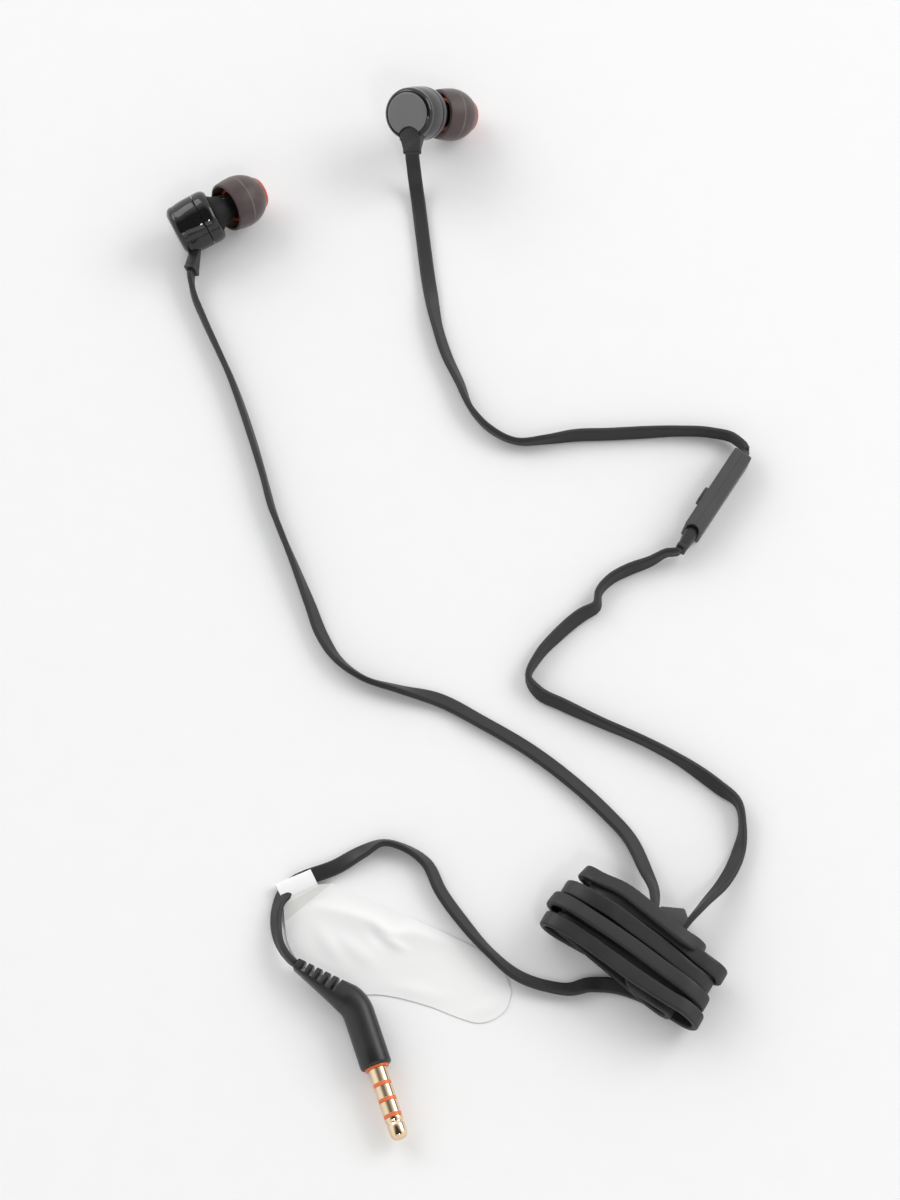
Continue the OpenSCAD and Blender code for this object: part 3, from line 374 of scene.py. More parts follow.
REMOTE_TAIL = ((73.848, -85.882, 2.687), (-0.537, -0.843, 0.0), (0.084, -0.053, 0.995))
LEFT_OUTLET = ((65.690, -163.176, 4.85), (-0.540, -0.842, 0.0), (0.0, 0.0, 1.0))
RIGHT_OUTLET = ((71.076, -166.633, 4.85), (-0.540, -0.842, 0.0), (0.0, 0.0, 1.0))
PLUG_TAIL = ((-2.033, -172.235, 3.0), (0.824, -0.566, 0.0), (0.0, 0.0, 1.0))


def cord_piece(name, centres, ahead, across, nodes, **facts):
    """A rubber cord along its centres."""
    piece = swept(name, centres, ahead, across)
    piece.data.materials.append(rubber)
    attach(piece, "earphones")
    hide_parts(*nodes)


SPLITTER = ["splitter_upper_half", "splitter_lower_half"]
REMOTE = ["remote_upper_relief", "remote_front", "remote_rear", "remote_button_key", "remote_lower_relief"]
PLUG = ["plug_overmould", "plug_collar", "plug_sleeve", "plug_ring_2", "plug_ring_1", "plug_barrel_tip",
        "cord_label"]
BRANCHES = (
    ("left_branch_cord", LEFT_RELIEF_END, LEFT_ROUTE, LEFT_OUTLET, "left_cord", SPLITTER),
    ("right_branch_cord_upper", RIGHT_RELIEF_END, RIGHT_UPPER_ROUTE, REMOTE_TOP, "right_cord_upper", REMOTE),
    ("right_branch_cord_lower", REMOTE_TAIL, RIGHT_LOWER_ROUTE, RIGHT_OUTLET, "right_cord_lower", SPLITTER))
for name, start, route, end, node, fitting in BRANCHES:
    cord_piece(name, *lay_cord(start, route, end), [node], far_end="fitting", lay="loose",
               with_pieces=fitting)

# The lead is one cord: its wound part runs straight on into the free part that ends in the plug.
wound, wound_ahead, wound_across = wound_centres()
free, free_ahead, free_across = lay_cord(
    (wound[-1], wound_ahead[-1], wound_across[-1]), MAIN_ROUTE, PLUG_TAIL)
flip = 1.0 if np.dot(wound_across[-1], free_across[0]) > 0 else -1.0
cord_piece("wound_lead_cord", np.vstack([wound, free[1:]]), np.vstack([wound_ahead, free_ahead[1:]]),
           np.vstack([wound_across, flip * free_across[1:]]), ["cord_hank", "main_cord"],
           far_end="plug", lay="coiled", with_pieces=PLUG)

# ---- Earpiece shells ----
# Two glossy black mouldings snap together at the seam: a rear cup, slightly barrelled, and a plump front
# ring. They are polished in the mould, so they show soft ripples and the lamps, and a fine dark groove
# where they meet.
EARS = {
    "left": (np.array([-25.2, -10.9, 6.32]), (73.5, 52.0, 103.0), 1.0),
    "right": (np.array([20.7, 11.8, 12.1]), (145.5, 23.0, 170.5), -1.0),
}
ROOT_LOW, ROOT_HIGH, ROOT_OUT, ROOT_IN, ROOT_W, ROOT_GAP = -6.0, -3.3, -5.4, -2.9, 4.8, 0.12
CUP_EDGE, GROOVE = 0.07, 0.1
REAR_CUP = (
    [(4.90, -0.02), (5.30, -0.09), (5.66, -0.09), (5.73, -0.15), (5.75, -0.5), (5.75, -1.4), (5.72, -2.4),
     (5.64, -3.4), (5.50, -4.3)]
    + arc((4.26, -5.05), (1.22, 1.22), 14, -66, 14)
    + [(4.70, -6.19), (4.64, -6.10), (4.64, -5.55), (0.0, -5.55), (0.0, -4.7), (4.3, -4.7), (4.9, -1.0)])
FRONT_RING = (
    [(4.9, 0.02), (5.30, 0.05), (5.66, 0.05), (5.73, 0.11), (5.75, 0.5)]
    + arc((4.24, 1.0), (1.51, 2.0), 0, 88, 24, 0.8)
    + [(4.22, 2.97), (4.16, 2.86), (4.15, 2.6), (4.15, 1.6), (4.55, 1.6), (4.55, -0.8), (4.85, -0.8)])


def on_ear(side):
    """Takes points of the earpiece's own frame to the table, the right one mirrored."""
    seam, turn, hand = EARS[side]
    return placed(seam, turn_matrix(*turn), hand)


def tidy(piece, crease=38.0):
    """Welds seams, turns the faces outwards and keeps edges sharper than crease crisp."""
    work = bmesh.new()
    work.from_mesh(piece.data)
    bmesh.ops.remove_doubles(work, verts=work.verts, dist=1e-7)
    bmesh.ops.dissolve_degenerate(work, edges=work.edges, dist=1e-8)
    bmesh.ops.recalc_face_normals(work, faces=work.faces)
    for face in work.faces:
        face.smooth = True
    for edge in work.edges:
        edge.smooth = len(edge.link_faces) != 2 or edge.calc_face_angle() < math.radians(crease)
    work.to_mesh(piece.data)
    work.free()
    piece.data.update()
    return piece


def looped(name, rings, joined=False):
    """A skin over rings of equal count: its ends are capped, or joined to each other."""
    rings = np.asarray(rings, float)
    n, m = rings.shape[:2]
    caps = [] if joined else [tuple(range(m))[::-1], tuple(range((n - 1) * m, n * m))]
    return tidy(mesh_piece(name, rings.reshape(-1, 3), caps + wall_faces(n, m, joined)))


def circle(r, height, around=96):
    """A level circle round the upright axis."""
    turns = np.linspace(0, 2 * math.pi, around, endpoint=False)
    return np.column_stack([r * np.cos(turns), r * np.sin(turns), np.full(around, height)])


def lathed(name, outline, place, around=96):
    """A turned piece from its closed outline of radius and height, placed on the table."""
    return looped(name, place([circle(r, z, around) for r, z in outline]), True)


def settled(piece):
    """Applies the piece's modifiers."""
    made = bpy.data.meshes.new_from_object(piece.evaluated_get(bpy.context.evaluated_depsgraph_get()))
    piece.modifiers.clear()
    piece.data = made
    made.name = piece.name
    return piece


def cut_with(piece, others, operation="DIFFERENCE"):
    """Cuts a piece with others or joins them to it, and uses them up."""
    for other in others:
        step = piece.modifiers.new("cut", "BOOLEAN")
        step.object, step.operation, step.solver = other, operation, "EXACT"
    settled(piece)
    for other in others:
        bpy.data.objects.remove(other)
    return tidy(piece)


def softened(piece, width, steps=2, crease=38.0):
    """Breaks the sharp edges by a small radius, in millimetres."""
    edge = piece.modifiers.new("edge", "BEVEL")
    edge.width, edge.segments, edge.limit_method = width * MM, steps, "ANGLE"
    edge.angle_limit = math.radians(35)
    return tidy(settled(piece), crease)


def block(name, low, high, place):
    (a, b, c), (d, e, f) = low, high
    return looped(name, place(np.array([[(a, b, z), (d, b, z), (d, e, z), (a, e, z)] for z in (c, f)])))


def drum(name, at, axis, r, low, high, place, around=48):
    """A cylinder through at along axis, from low to high."""
    axis = unit(axis)
    side = unit(np.cross(axis, [0.31, 0.74, 0.59]))
    rim = circle(1, 0, around)
    ring = r * (rim[:, :1] * side + rim[:, 1:2] * np.cross(axis, side))
    return looped(name, place([np.asarray(at) + axis * h + ring for h in (low, high)]))


def dressed(piece, material, slot, *nodes, body="earphones", more=()):
    """Gives a piece its finish, its body and the solids it stands for; more holds its other finishes."""
    chosen = [face.material_index for face in piece.data.polygons]
    piece.data.materials.clear()
    for finish in (material, *more):
        piece.data.materials.append(finish)
    if more:
        piece.data.polygons.foreach_set("material_index", chosen)
    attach(piece, body)
    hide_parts(*nodes)


def moulded(name, dark, light, rough, grain=0.0, grain_size=0.4, patch_size=12.0, **sockets):
    """A moulded finish: two tones in soft patches, gloss that wanders, and a fine grain. Sizes in mm."""
    material, tree, shader = shaded(name)
    where = added(tree, "TexCoord")
    patches = added(tree, "TexNoise", Scale=1000.0 / patch_size, Detail=4.0)
    tone = ramp(tree, 0.32, dark, 0.7, light)
    gloss = added(tree, "MapRange", From_Min=0.3, From_Max=0.7, To_Min=rough[0], To_Max=rough[1])
    wired(tree, (where, "Object", patches, "Vector"), (patches, "Fac", tone, "Fac"),
          (tone, "Color", shader, "Base Color"), (patches, "Fac", gloss, "Value"),
          (gloss, "Result", shader, "Roughness"))
    if grain:
        fine = added(tree, "TexNoise", Scale=1000.0 / grain_size, Detail=3.0)
        wired(tree, (where, "Object", fine, "Vector"))
        relieved(tree, fine, "Fac", 0.3, grain * MM)
    preset(shader, **sockets)
    return material


gloss_black = moulded("gloss_shell", (0.008, 0.008, 0.008), (0.010, 0.010, 0.010), (0.04, 0.07), grain=0.012,
                      grain_size=4.0, patch_size=15.0)
nozzle_black = moulded("matte_nozzle", (0.006, 0.006, 0.006), (0.009, 0.009, 0.009), (0.50, 0.62),
                       grain=0.012, grain_size=0.2, Specular_IOR_Level=0.25)


def dulled(piece, side):
    """Gives the faces inside the groove of the seam a dull finish."""
    seam, turn, _ = EARS[side]
    axis = turn_matrix(*turn)[:, 2]
    piece.data.materials.append(nozzle_black)
    for face in piece.data.polygons:
        if abs((np.array(face.center) / MM - seam) @ axis) < GROOVE:
            face.material_index = 1


for side in EARS:
    place, half = on_ear(side), ROOT_W / 2 + ROOT_GAP
    cup = lathed(f"{side}_rear_shell", REAR_CUP, place)
    cut_with(cup, [block("notch", (-half, -8, -8), (half, ROOT_IN, ROOT_HIGH + ROOT_GAP), place)])
    softened(cup, CUP_EDGE)
    ring = lathed(f"{side}_front_shell", FRONT_RING, place)
    for shell, node in ((cup, "rear_housing"), (ring, "front_ring")):
        dressed(shell, gloss_black, "gloss_shell", f"{side}_{node}")
        dulled(shell, side)

# ---- Rear caps ----
# A matte black badge cap is pressed into the rear cup. Its face is bare and very slightly crowned, its rim
# is rounded, and it has an arched notch where the strain relief comes out.
CAP = [(0.0, -6.46), (1.5, -6.455), (3.0, -6.44), (4.0, -6.42), (4.32, -6.39), (4.46, -6.32), (4.54, -6.2),
       (4.55, -6.05), (4.55, -5.55), (0.0, -5.55)]
ARCH_R, ARCH_Y, CAP_EDGE = 2.75, -5.35, 0.10
matte_cap = moulded("matte_cap", (0.150, 0.150, 0.152), (0.172, 0.172, 0.174), (0.36, 0.44), grain=0.010,
                    grain_size=0.25)
for side in EARS:
    place = on_ear(side)
    cap = lathed(f"{side}_badge_cap", CAP, place)
    cut_with(cap, [drum("arch", (0, ARCH_Y, 0), (0, 0, 1), ARCH_R, -8, -5, place, 64)])
    dressed(softened(cap, CAP_EDGE), matte_cap, "matte_cap", f"{side}_rear_cap")

# ---- Nozzles ----
# Matte black moulding that flares out of the ring, bends towards the ear canal and ends in a hollow spigot
# with a barb for the tip. A pinhole vent with its own mesh sits in the flare.
TILT, SWING, PIVOT = 28.0, -12.0, 4.0
VENT_TURN, VENT_AT, VENT_R = 140.0, 0.9, 0.42


def along_nozzle(points, tilt=TILT):
    """Takes points measured along the bent nozzle axis to the earpiece's own frame."""
    return placed([0, 0, PIVOT], turn_matrix(0, tilt, SWING))(points)


def on_nozzle(side, out=0.0):
    return lambda points: on_ear(side)(along_nozzle(np.asarray(points, float) + [0, 0, out]))


def nozzle_rings():
    """Rings from the root up the outside and back down the bore, each by tilt, distance and radius."""
    steps = np.linspace(0, 1, 15)
    flare = through([0, 0.2, 0.5, 0.8, 1], [[4.05], [3.66], [3.22], [3.0], [2.95]], steps)[:, 0]
    rings = [(0, -3, 3.9), (0, -3, 4.5), (0, -2.4, 4.5), (0, -2.4, 4.05)]
    rings += [(TILT * s, -1.1 + 2.6 * s, r) for s, r in zip(steps, flare)]
    rings += [(TILT, t, r) for t, r in (
        (1.55, 2.9), (1.56, 2.62), (1.7, 2.6), (6.3, 2.6), (6.42, 2.7), (6.6, 2.84), (6.85, 2.85),
        (7.0, 2.75), (7.05, 2.6), (7.2, 2.5), (7.2, 2.22), (6.9, 2.22), (6.9, 1.9), (1.4, 1.9))]
    rings += [(TILT * 2 / 3, 0.2, 2.3), (TILT / 3, -0.9, 2.9), (0, -2.1, 3.4), (0, -2.1, 3.9)]
    return [along_nozzle(circle(r, t), tilt) for tilt, t, r in rings]


for side in EARS:
    nozzle = looped(f"{side}_sound_nozzle", on_ear(side)(nozzle_rings()), True)
    out = turn_matrix(0, 0, VENT_TURN) @ [1, 0, 0]
    cut_with(nozzle, [drum("vent", (0, 0, VENT_AT), out, VENT_R, 2.7, 4.4, on_nozzle(side), 24)])
    dressed(nozzle, nozzle_black, "matte_nozzle", f"{side}_nozzle")

# ---- Soft tips ----
# A smoke-coloured silicone dome is moulded over a firm orange silicone core, which grips the spigot and
# shows at both ends. The dome is clear enough for the core to tint it, and a fine parting line runs round
# its middle.
BELLY, TIP_R, NOSE, SKIRT_CURVE, SKIN = (0.0, 5.2), 5.6, 6.1, 9.6, 0.6
TIP_OUT = {"left": 0.0, "right": 0.9}
SKIRT = ([(4.62, 1.72), (4.82, 1.62), (5.02, 1.66), (5.15, 1.80)]
         + arc(BELLY, (TIP_R, SKIRT_CURVE), -20.4, -0.8, 12))
PARTING = [(5.600, 5.15), (5.622, 5.18), (5.622, 5.27), (5.600, 5.30)]
CROWN = arc(BELLY, (TIP_R, NOSE), 1.3, 48.8, 22) + [(3.64, 9.83), (3.60, 9.76), (3.60, 9.12)]
INSIDE_WALL = (arc(BELLY, (TIP_R - SKIN, NOSE - SKIN), 43.2, 0.5, 20)
               + arc(BELLY, (TIP_R - SKIN, SKIRT_CURVE), -1.5, -19.6, 8))
DOME = SKIRT + PARTING + CROWN + INSIDE_WALL
CORE = [(2.9, 3.35), (3.0, 3.22), (3.46, 3.2), (3.6, 3.32), (3.6, 9.74), (3.57, 10.0), (3.46, 10.28),
        (3.26, 10.52), (2.96, 10.66), (2.66, 10.70), (2.40, 10.66), (2.25, 10.55), (2.2, 10.4), (2.2, 7.5),
        (2.3, 7.4), (2.9, 7.4)]


def silicone(name, dark, light, rough, **sockets):
    """Soft silicone with a little dust and bloom."""
    return moulded(name, dark, light, rough, grain=0.02, grain_size=0.35, patch_size=3.0, IOR=1.41,
                   Subsurface_Radius=(1.0, 0.35, 0.2), Subsurface_Scale=0.0012, **sockets)


def dome_piece(name, place, around=128):
    """The dome: outside, fine parting line, and inside wall, coloured lighter as painted light through it.
    """
    dome = lathed(name, DOME, place, around)
    first, after = len(SKIRT) - 1, len(SKIRT) + len(PARTING)
    for k, face in enumerate(dome.data.polygons):
        ring = k // around
        # Faces of the inside wall take the third finish, the painted light shining through the wall.
        inside = ring >= len(DOME) - len(INSIDE_WALL)
        face.material_index = 2 if inside else 1 if first <= ring < after else 0
    return dome


smoke = silicone("smoke_silicone", (0.072, 0.049, 0.051), (0.105, 0.070, 0.070), (0.36, 0.50),
                 Transmission_Weight=0.18, Sheen_Weight=0.25, Sheen_Roughness=0.4)
smoke_line = silicone("smoke_silicone_parting_line", (0.15, 0.125, 0.12), (0.20, 0.17, 0.165), (0.45, 0.6))
# Painted light: the inside wall is coloured lighter and warmer than the dome, for light shining through the
# thin wall.
smoke_inside_painted_light = silicone("smoke_silicone_inside_painted_light", (0.20, 0.13, 0.085), (0.27, 0.19, 0.13), (0.45, 0.6),
                        Subsurface_Weight=0.15)
orange = silicone("orange_silicone", (0.46, 0.072, 0.026), (0.54, 0.094, 0.036), (0.36, 0.48))
for side in EARS:
    place, body = on_nozzle(side, TIP_OUT[side]), f"{side}_tip"
    dressed(dome_piece(f"{side}_silicone_dome", place), smoke, "smoke_silicone", f"{side}_tip_dome",
            body=body, more=(smoke_line, smoke_inside_painted_light))
    core = lathed(f"{side}_silicone_core", CORE, place)
    dressed(core, orange, "orange_silicone", f"{side}_tip_core", body=body)

# ---- Strain reliefs at the earpieces ----
# Soft matte rubber moulded onto the cord: a square root held in the cup, an arched shoulder under the cap's
# notch, and a tapering tail that ends in a small collar.
SHOULDER_R, SHOULDER_LOW, COLLAR_T, RELIEF_EDGE = 2.65, -5.43, 0.7, 0.09
TAIL_L = {"left": 4.0, "right": 2.6}
LEANS = {"left": (34.0, 0.0, -44.0), "right": (-42.0, -26.0, -6.0)}


def bar_ring(w, t, corner):
    """A rounded rectangle, w wide and t thick, as x and y."""
    return np.vstack(corner_arcs(w, t, min(corner, w / 2 - 0.01, t / 2 - 0.01), 4))


def relief_piece(name, lean, tail_l, place):
    """The root, the shoulder, the tail and the collar joined; the tail and the collar lean."""
    tilt, middle = turn_matrix(*lean), (ROOT_LOW + ROOT_HIGH) / 2

    def section(w, t, corner, y, leaning):
        ring = bar_ring(w, t, corner)
        points = np.column_stack([ring[:, 0], np.full(len(ring), y), ring[:, 1]])
        return (points @ tilt.T if leaning else points) + [0, ROOT_OUT if leaning else 0, middle]

    tail = [section(4.4, 2.3, 0.3, ROOT_OUT + 0.6, False), section(4.6, 2.5, 0.3, ROOT_OUT, False),
            section(3.7, 2.1, 0.3, -tail_l, True)]
    collar = [section(3.66 + grow, 2.06 + grow, 0.35, -tail_l - y, True) for grow, y in (
        (-0.1, -0.6), (0.0, 0.0), (0.18, 0.07), (0.24, 0.16), (0.24, COLLAR_T - 0.14),
        (0.12, COLLAR_T - 0.03), (-0.04, COLLAR_T))]
    half, foot = ROOT_W / 2 - 0.02, ROOT_OUT + 0.013
    arch = [(x, y) for x, y in arc((0, ARCH_Y), (SHOULDER_R, SHOULDER_R), 20, 160, 24) if abs(x) < half]
    arch = [(half, foot), *arch, (-half, foot)]
    root = block(name, (-ROOT_W / 2, ROOT_OUT + 0.02, -5.5), (ROOT_W / 2, ROOT_IN, ROOT_HIGH), place)
    shoulder = looped("shoulder", place([[(x, y, z) for x, y in arch] for z in (ROOT_LOW, SHOULDER_LOW)]))
    others = [shoulder, hulled("tail", place(np.concatenate(tail))), looped("collar", place(collar))]
    return softened(cut_with(root, others, "UNION"), RELIEF_EDGE)


def hulled(name, points):
    """The tightest convex solid round the points."""
    piece = mesh_piece(name, points, [])
    work = bmesh.new()
    work.from_mesh(piece.data)
    extra = bmesh.ops.convex_hull(work, input=work.verts)
    bmesh.ops.delete(work, geom=[v for v in extra["geom_interior"] if v.is_valid], context="VERTS")
    bmesh.ops.dissolve_limit(work, angle_limit=0.02, verts=work.verts, edges=work.edges)
    work.to_mesh(piece.data)
    work.free()
    return tidy(piece)


relief_rubber = moulded("soft_black", (0.020, 0.020, 0.021), (0.027, 0.027, 0.028), (0.42, 0.54), grain=0.02,
                        grain_size=0.3)
for side in EARS:
    relief = relief_piece(f"{side}_cord_relief", LEANS[side], TAIL_L[side], on_ear(side))
    dressed(relief, relief_rubber, "soft_black", f"{side}_strain_relief")

# ---- Remote ----
# Two matte black shells, drafted from the mould, clip together round the circuit board. The button key
# rises through the front shell, beside the pinhole of the microphone, and soft rubber necks hold the cord
# at each end.
HALF_L, TOP_L, HALF_T, HALF_W, DRAFT, END_DRAFT = 10.6, 9.9, 2.0, 2.9, 0.4, 0.16
CORNER, FACE_R, NECK_CORNER, SHELL_EDGE, SHELL_CREASE = 0.4, 0.22, 0.45, 0.02, 20.0
ROOM = (9.2, 1.2, 1.9)
UPPER_MOUTH = ((8, -1.15, -1.85), (12, 0.65, 1.85))
LOWER_MOUTH = ((-12, -0.9, -1.85), (-8, 0.9, 1.85))
BUTTON_X, BUTTON_L, BUTTON_W, BUTTON_GAP, MIC_X, MIC_R = -2.2, 4.2, 3.0, 0.2, 5.0, 0.4
BOOT_X, SCOOP_R = -11.0, 1.45
BUTTON = [(0.65, -0.8, -0.6), (1.15, -0.8, -0.6), (1.15, 0, 0), (2.5, 0, 0), (2.60, 0.06, 0.06),
          (2.66, 0.18, 0.18), (2.69, 0.40, 0.40), (2.70, 1.2, 1.2)]
UPPER_NECK = [(8.55, 1.6, 3.5), (8.56, 1.8, 3.7), (9.34, 1.8, 3.7), (9.36, 1.6, 3.5), (10.9, 1.6, 3.5),
              (11.0, 1.45, 3.35)]
LOWER_BOOT = [
    (-8.56, 2.1, 3.7), (-9.34, 2.1, 3.7), (-9.36, 1.6, 3.5), (-9.75, 1.6, 3.5), (-9.85, 2.0, 3.6),
    (-10.4, 2.4, 3.7), (-11.0, 2.6, 3.7), (-12.0, 2.5, 3.64), (-13.1, 2.26, 3.52), (-14.05, 2.02, 3.4),
    (-14.1, 2.16, 3.56), (-14.2, 2.2, 3.6), (-14.66, 2.2, 3.6), (-14.78, 2.1, 3.5), (-14.8, 1.9, 3.3)]
on_remote = placed(np.array([81.8, -73.4, 2.687]), turn_matrix(5.71, 0, 57.5))


def shell_section(x, high, inset, front):
    """The outline of one shell at x: flat at the parting line, a small radius where face and sides meet."""
    sign, r = (1 if front else -1), FACE_R
    side = [(r, 0.01), (r, 0.3), (r, high - r - 0.2)] + arc((0, high - r), (r, r), 0, 90, 5)
    half = [(y, HALF_W - DRAFT * (HALF_T - sign * y) / (2 * HALF_T) - inset - (r - d)) for d, y in side]
    half += [(high, half[-1][1] - 0.3)]
    ring = half + [(y, -z) for y, z in half[::-1]]
    return [(x, sign * y, z) for y, z in ring]


def remote_shell(name, front):
    """One shell, hollowed for the board, with a mouth for the cord at each end."""
    bend = zip(*cos_sin(np.linspace(90, 0, 6)))
    ends = [(CORNER - CORNER * s, HALF_T - CORNER + CORNER * c, END_DRAFT * s ** 4) for c, s in bend]
    ends += [(CORNER + 0.3, HALF_T, 0.0)]
    rows = [(-HALF_L + x, h, i) for x, h, i in ends] + [(TOP_L - x, h, i) for x, h, i in ends[::-1]]
    shell = looped(name, on_remote([shell_section(x, h, i, front) for x, h, i in rows]))
    sign, (a, b, c) = (1 if front else -1), ROOM
    cuts = [block("room", (-a, min(-sign, sign * b), -c), (a, max(-sign, sign * b), c), on_remote),
            block("upper_mouth", *UPPER_MOUTH, on_remote), block("lower_mouth", *LOWER_MOUTH, on_remote),
            drum("scoop", (BOOT_X, 0, 0), (0, 0, 1), SCOOP_R, -4, 4, on_remote)]
    if front:
        window = [stadium(BUTTON_L + BUTTON_GAP, BUTTON_W + BUTTON_GAP, y) for y in (0.5, 3)]
        cuts += [looped("window", on_remote(window)),
                 drum("mic", (MIC_X, 0, 0), (0, 1, 0), MIC_R, 0.5, 3, on_remote, 24)]
    return softened(cut_with(shell, cuts), SHELL_EDGE, 1, SHELL_CREASE)


def stadium(length, width, y):
    """A round-ended outline at height y, with its long way along the remote."""
    r, half = width / 2, (length - width) / 2
    ends = [arc((BUTTON_X + half, 0), (r, r), -90, 90, 12), arc((BUTTON_X - half, 0), (r, r), 90, 270, 12)]
    return [(x, y, z) for x, z in ends[0] + ends[1]]


def neck_piece(name, rows, middle_y):
    """A rubber neck from rows of x, thickness and width."""
    rings = []
    for x, t, w in rows:
        ring = bar_ring(w, t, NECK_CORNER)
        rings.append(np.column_stack([np.full(len(ring), x), ring[:, 1] + middle_y, ring[:, 0]]))
    return looped(name, on_remote(rings))


shell_black = moulded("matte_shell", (0.046, 0.046, 0.047), (0.057, 0.057, 0.058), (0.40, 0.50), grain=0.012,
                      grain_size=0.22)
for name, front in (("front", True), ("rear", False)):
    shell = remote_shell(f"remote_{name}_shell", front)
    dressed(shell, shell_black, "matte_shell", f"remote_{name}")
key = looped("remote_button", on_remote([stadium(BUTTON_L - i, BUTTON_W - j, y) for y, i, j in BUTTON]))
dressed(key, shell_black, "matte_shell", "remote_button_key", body="remote_button_key")
for name, rows, middle_y, node in (("remote_upper_neck", UPPER_NECK, -0.25, "remote_upper_relief"),
                                   ("remote_lower_boot", LOWER_BOOT, 0, "remote_lower_relief")):
    dressed(neck_piece(name, rows, middle_y), relief_rubber, "soft_black", node)

# ---- Splitter ----
# A small matte black block in two halves, pegged together where the two branches join the lead. It has
# shoulders at the lead's side and a slanted end for the branches.
SPLIT = [
    (1.2, -1.5), (5.6, -1.5), (7.2, 1), (7.2, 8), (6.6, 8.4), (6.5, 10.8), (4.9, 12.2), (0.8, 10.1),
    (0.8, 8), (-0.4, 8), (-0.4, 1)]
SPLIT_R, SPLIT_EDGE = 0.62, ((0.02, 0.04), (0.07, 0.0), (1.2, 0.0), (1.35, 0.05), (1.45, 0.15), (1.5, 0.32))


def rounded(corners, radius, inset, steps=6):
    """The closed outline of a polygon with rounded corners, drawn in by inset."""
    corners = np.asarray(corners, float)
    ring = []
    for before, here, after in zip(np.roll(corners, 1, 0), corners, np.roll(corners, -1, 0)):
        a, b = unit(here - before), unit(after - here)
        out_a, out_b = np.array([a[1], -a[0]]), np.array([b[1], -b[0]])
        hand = 1.0 if a[0] * b[1] - a[1] * b[0] > 0 else -1.0
        middle = here - hand * radius * (out_a + out_b) / (1 + out_a @ out_b)
        for share in np.linspace(0, 1, steps):
            out = unit(out_a * (1 - share) + out_b * share)
            ring.append(middle + out * (hand * radius - inset))
    return np.array(ring)


for half, sign in (("upper", 1), ("lower", -1)):
    rings = []
    for rise, inset in SPLIT_EDGE:
        ring = rounded(SPLIT, SPLIT_R, inset)
        rings.append(np.column_stack([ring, np.full(len(ring), MID_W + sign * rise)]))
    dressed(looped(f"splitter_{half}_shell", on_pile(rings)), shell_black, "matte_shell",
            f"splitter_{half}_half")

# ---- Plug over-mould ----
# Soft satin black rubber moulded over the plug: a round grip, a bend and a taper down to the flat cord.
# Five slots cut in from one side leave a spine, so that the taper flexes.
GRIP_R, GRIP_L, BEND_R, BEND, TAPER_L, GRIP_EDGE = 3.0, 11.0, 6.0, math.radians(36.7), 11.9, 0.07
SLOTS, SLOT_W, SLOT_PITCH, SLOT_FIRST, SPINE_Y = 5, 0.8, 1.75, 2.6, 0.8
on_plug = placed(np.array([13.6, -192.4, 3.0]), turn_matrix(0, 0, -71.2))


def grip_ring(at, heading, wide, tall, square):
    """A section across the over-mould: a circle that turns into a rounded rectangle as square grows."""
    across = np.array([-heading[1], heading[0], 0.0])
    (c, s, _), power = circle(1, 0, 64).T, 2.0 / (2.0 + square)
    x, z = wide * np.sign(c) * np.abs(c) ** power, tall * np.sign(s) * np.abs(s) ** power
    return on_plug(np.asarray([*at, 0.0]) + x[:, None] * across + z[:, None] * np.array([0.0, 0.0, 1.0]))


def grip_rings():
    """Rings from the collar to the cord, then the place where the taper starts and its heading."""
    rings = [grip_ring((-x, 0), (-1, 0), r, r, 0) for x, r in (
        (0.4, 2.35), (0.42, 2.55), (0.5, 2.76), (0.66, 2.92), (0.9, 3.0), (4, 3.0), (8, 3.0), (10, 3.0))]
    for a in np.linspace(0, BEND, 9):
        rings.append(grip_ring((-GRIP_L - BEND_R * math.sin(a), -BEND_R * (1 - math.cos(a))),
                               (-math.cos(a), -math.sin(a)), GRIP_R, GRIP_R, 0))
    elbow = np.array([-GRIP_L - BEND_R * math.sin(BEND), -BEND_R * (1 - math.cos(BEND))])
    ahead = np.array([-math.cos(BEND), -math.sin(BEND)])
    for share in (0.04, 0.1, 0.2, 0.3, 0.45, 0.6, 0.75, 0.9, 0.985):
        ease = share ** 0.85
        rings.append(grip_ring(elbow + ahead * TAPER_L * share, ahead, GRIP_R - 1.9 * ease,
                               GRIP_R - 1.3 * ease, 2.6 * ease))
    rings.append(grip_ring(elbow + ahead * TAPER_L, ahead, 0.95, 1.55, 2.6))
    return rings, elbow, ahead


def slot_cutter(k, elbow, ahead):
    """One slot, open to the side away from the spine, with a rounded floor."""
    low, side = SLOT_FIRST + SLOT_PITCH * k, np.array([-ahead[1], ahead[0]])
    outline = [(low + 0.15, SPINE_Y), (low, SPINE_Y - 0.2), (low, -6), (low + SLOT_W, -6),
               (low + SLOT_W, SPINE_Y - 0.2), (low + SLOT_W - 0.15, SPINE_Y)]
    rings = [[[*(elbow + ahead * s + side * y), z] for s, y in outline] for z in (-5, 5)]
    return looped("slot", on_plug(rings))


satin = moulded("plug_rubber", (0.009, 0.009, 0.010), (0.013, 0.013, 0.014), (0.30, 0.42), grain=0.02,
                grain_size=0.28)
grip, elbow, ahead = grip_rings()
overmould = looped("plug_rubber_overmould", grip)
cut_with(overmould, [slot_cutter(k, elbow, ahead) for k in range(SLOTS)])
dressed(softened(overmould, GRIP_EDGE), satin, "soft_black", "plug_overmould")

# ---- Plug barrel ----
# Four gold-plated contacts, turned from brass, separated by orange plastic bands, with an orange collar
# where the barrel leaves the rubber. The plating is bright, with a light tarnish in soft patches.
BARREL_R, LINER_R, PIN_R, SHANK_R, COLLAR_R, EDGE = 1.75, 1.2, 0.65, 1.55, 2.3, 0.05
BANDS = (2.8, 5.9, 9.0)
BAND_W = 0.7


def on_barrel(points):
    """Takes points measured along the barrel to the table."""
    points = np.asarray(points, float)
    return on_plug(np.stack([points[..., 2], points[..., 1], -points[..., 0]], axis=-1))


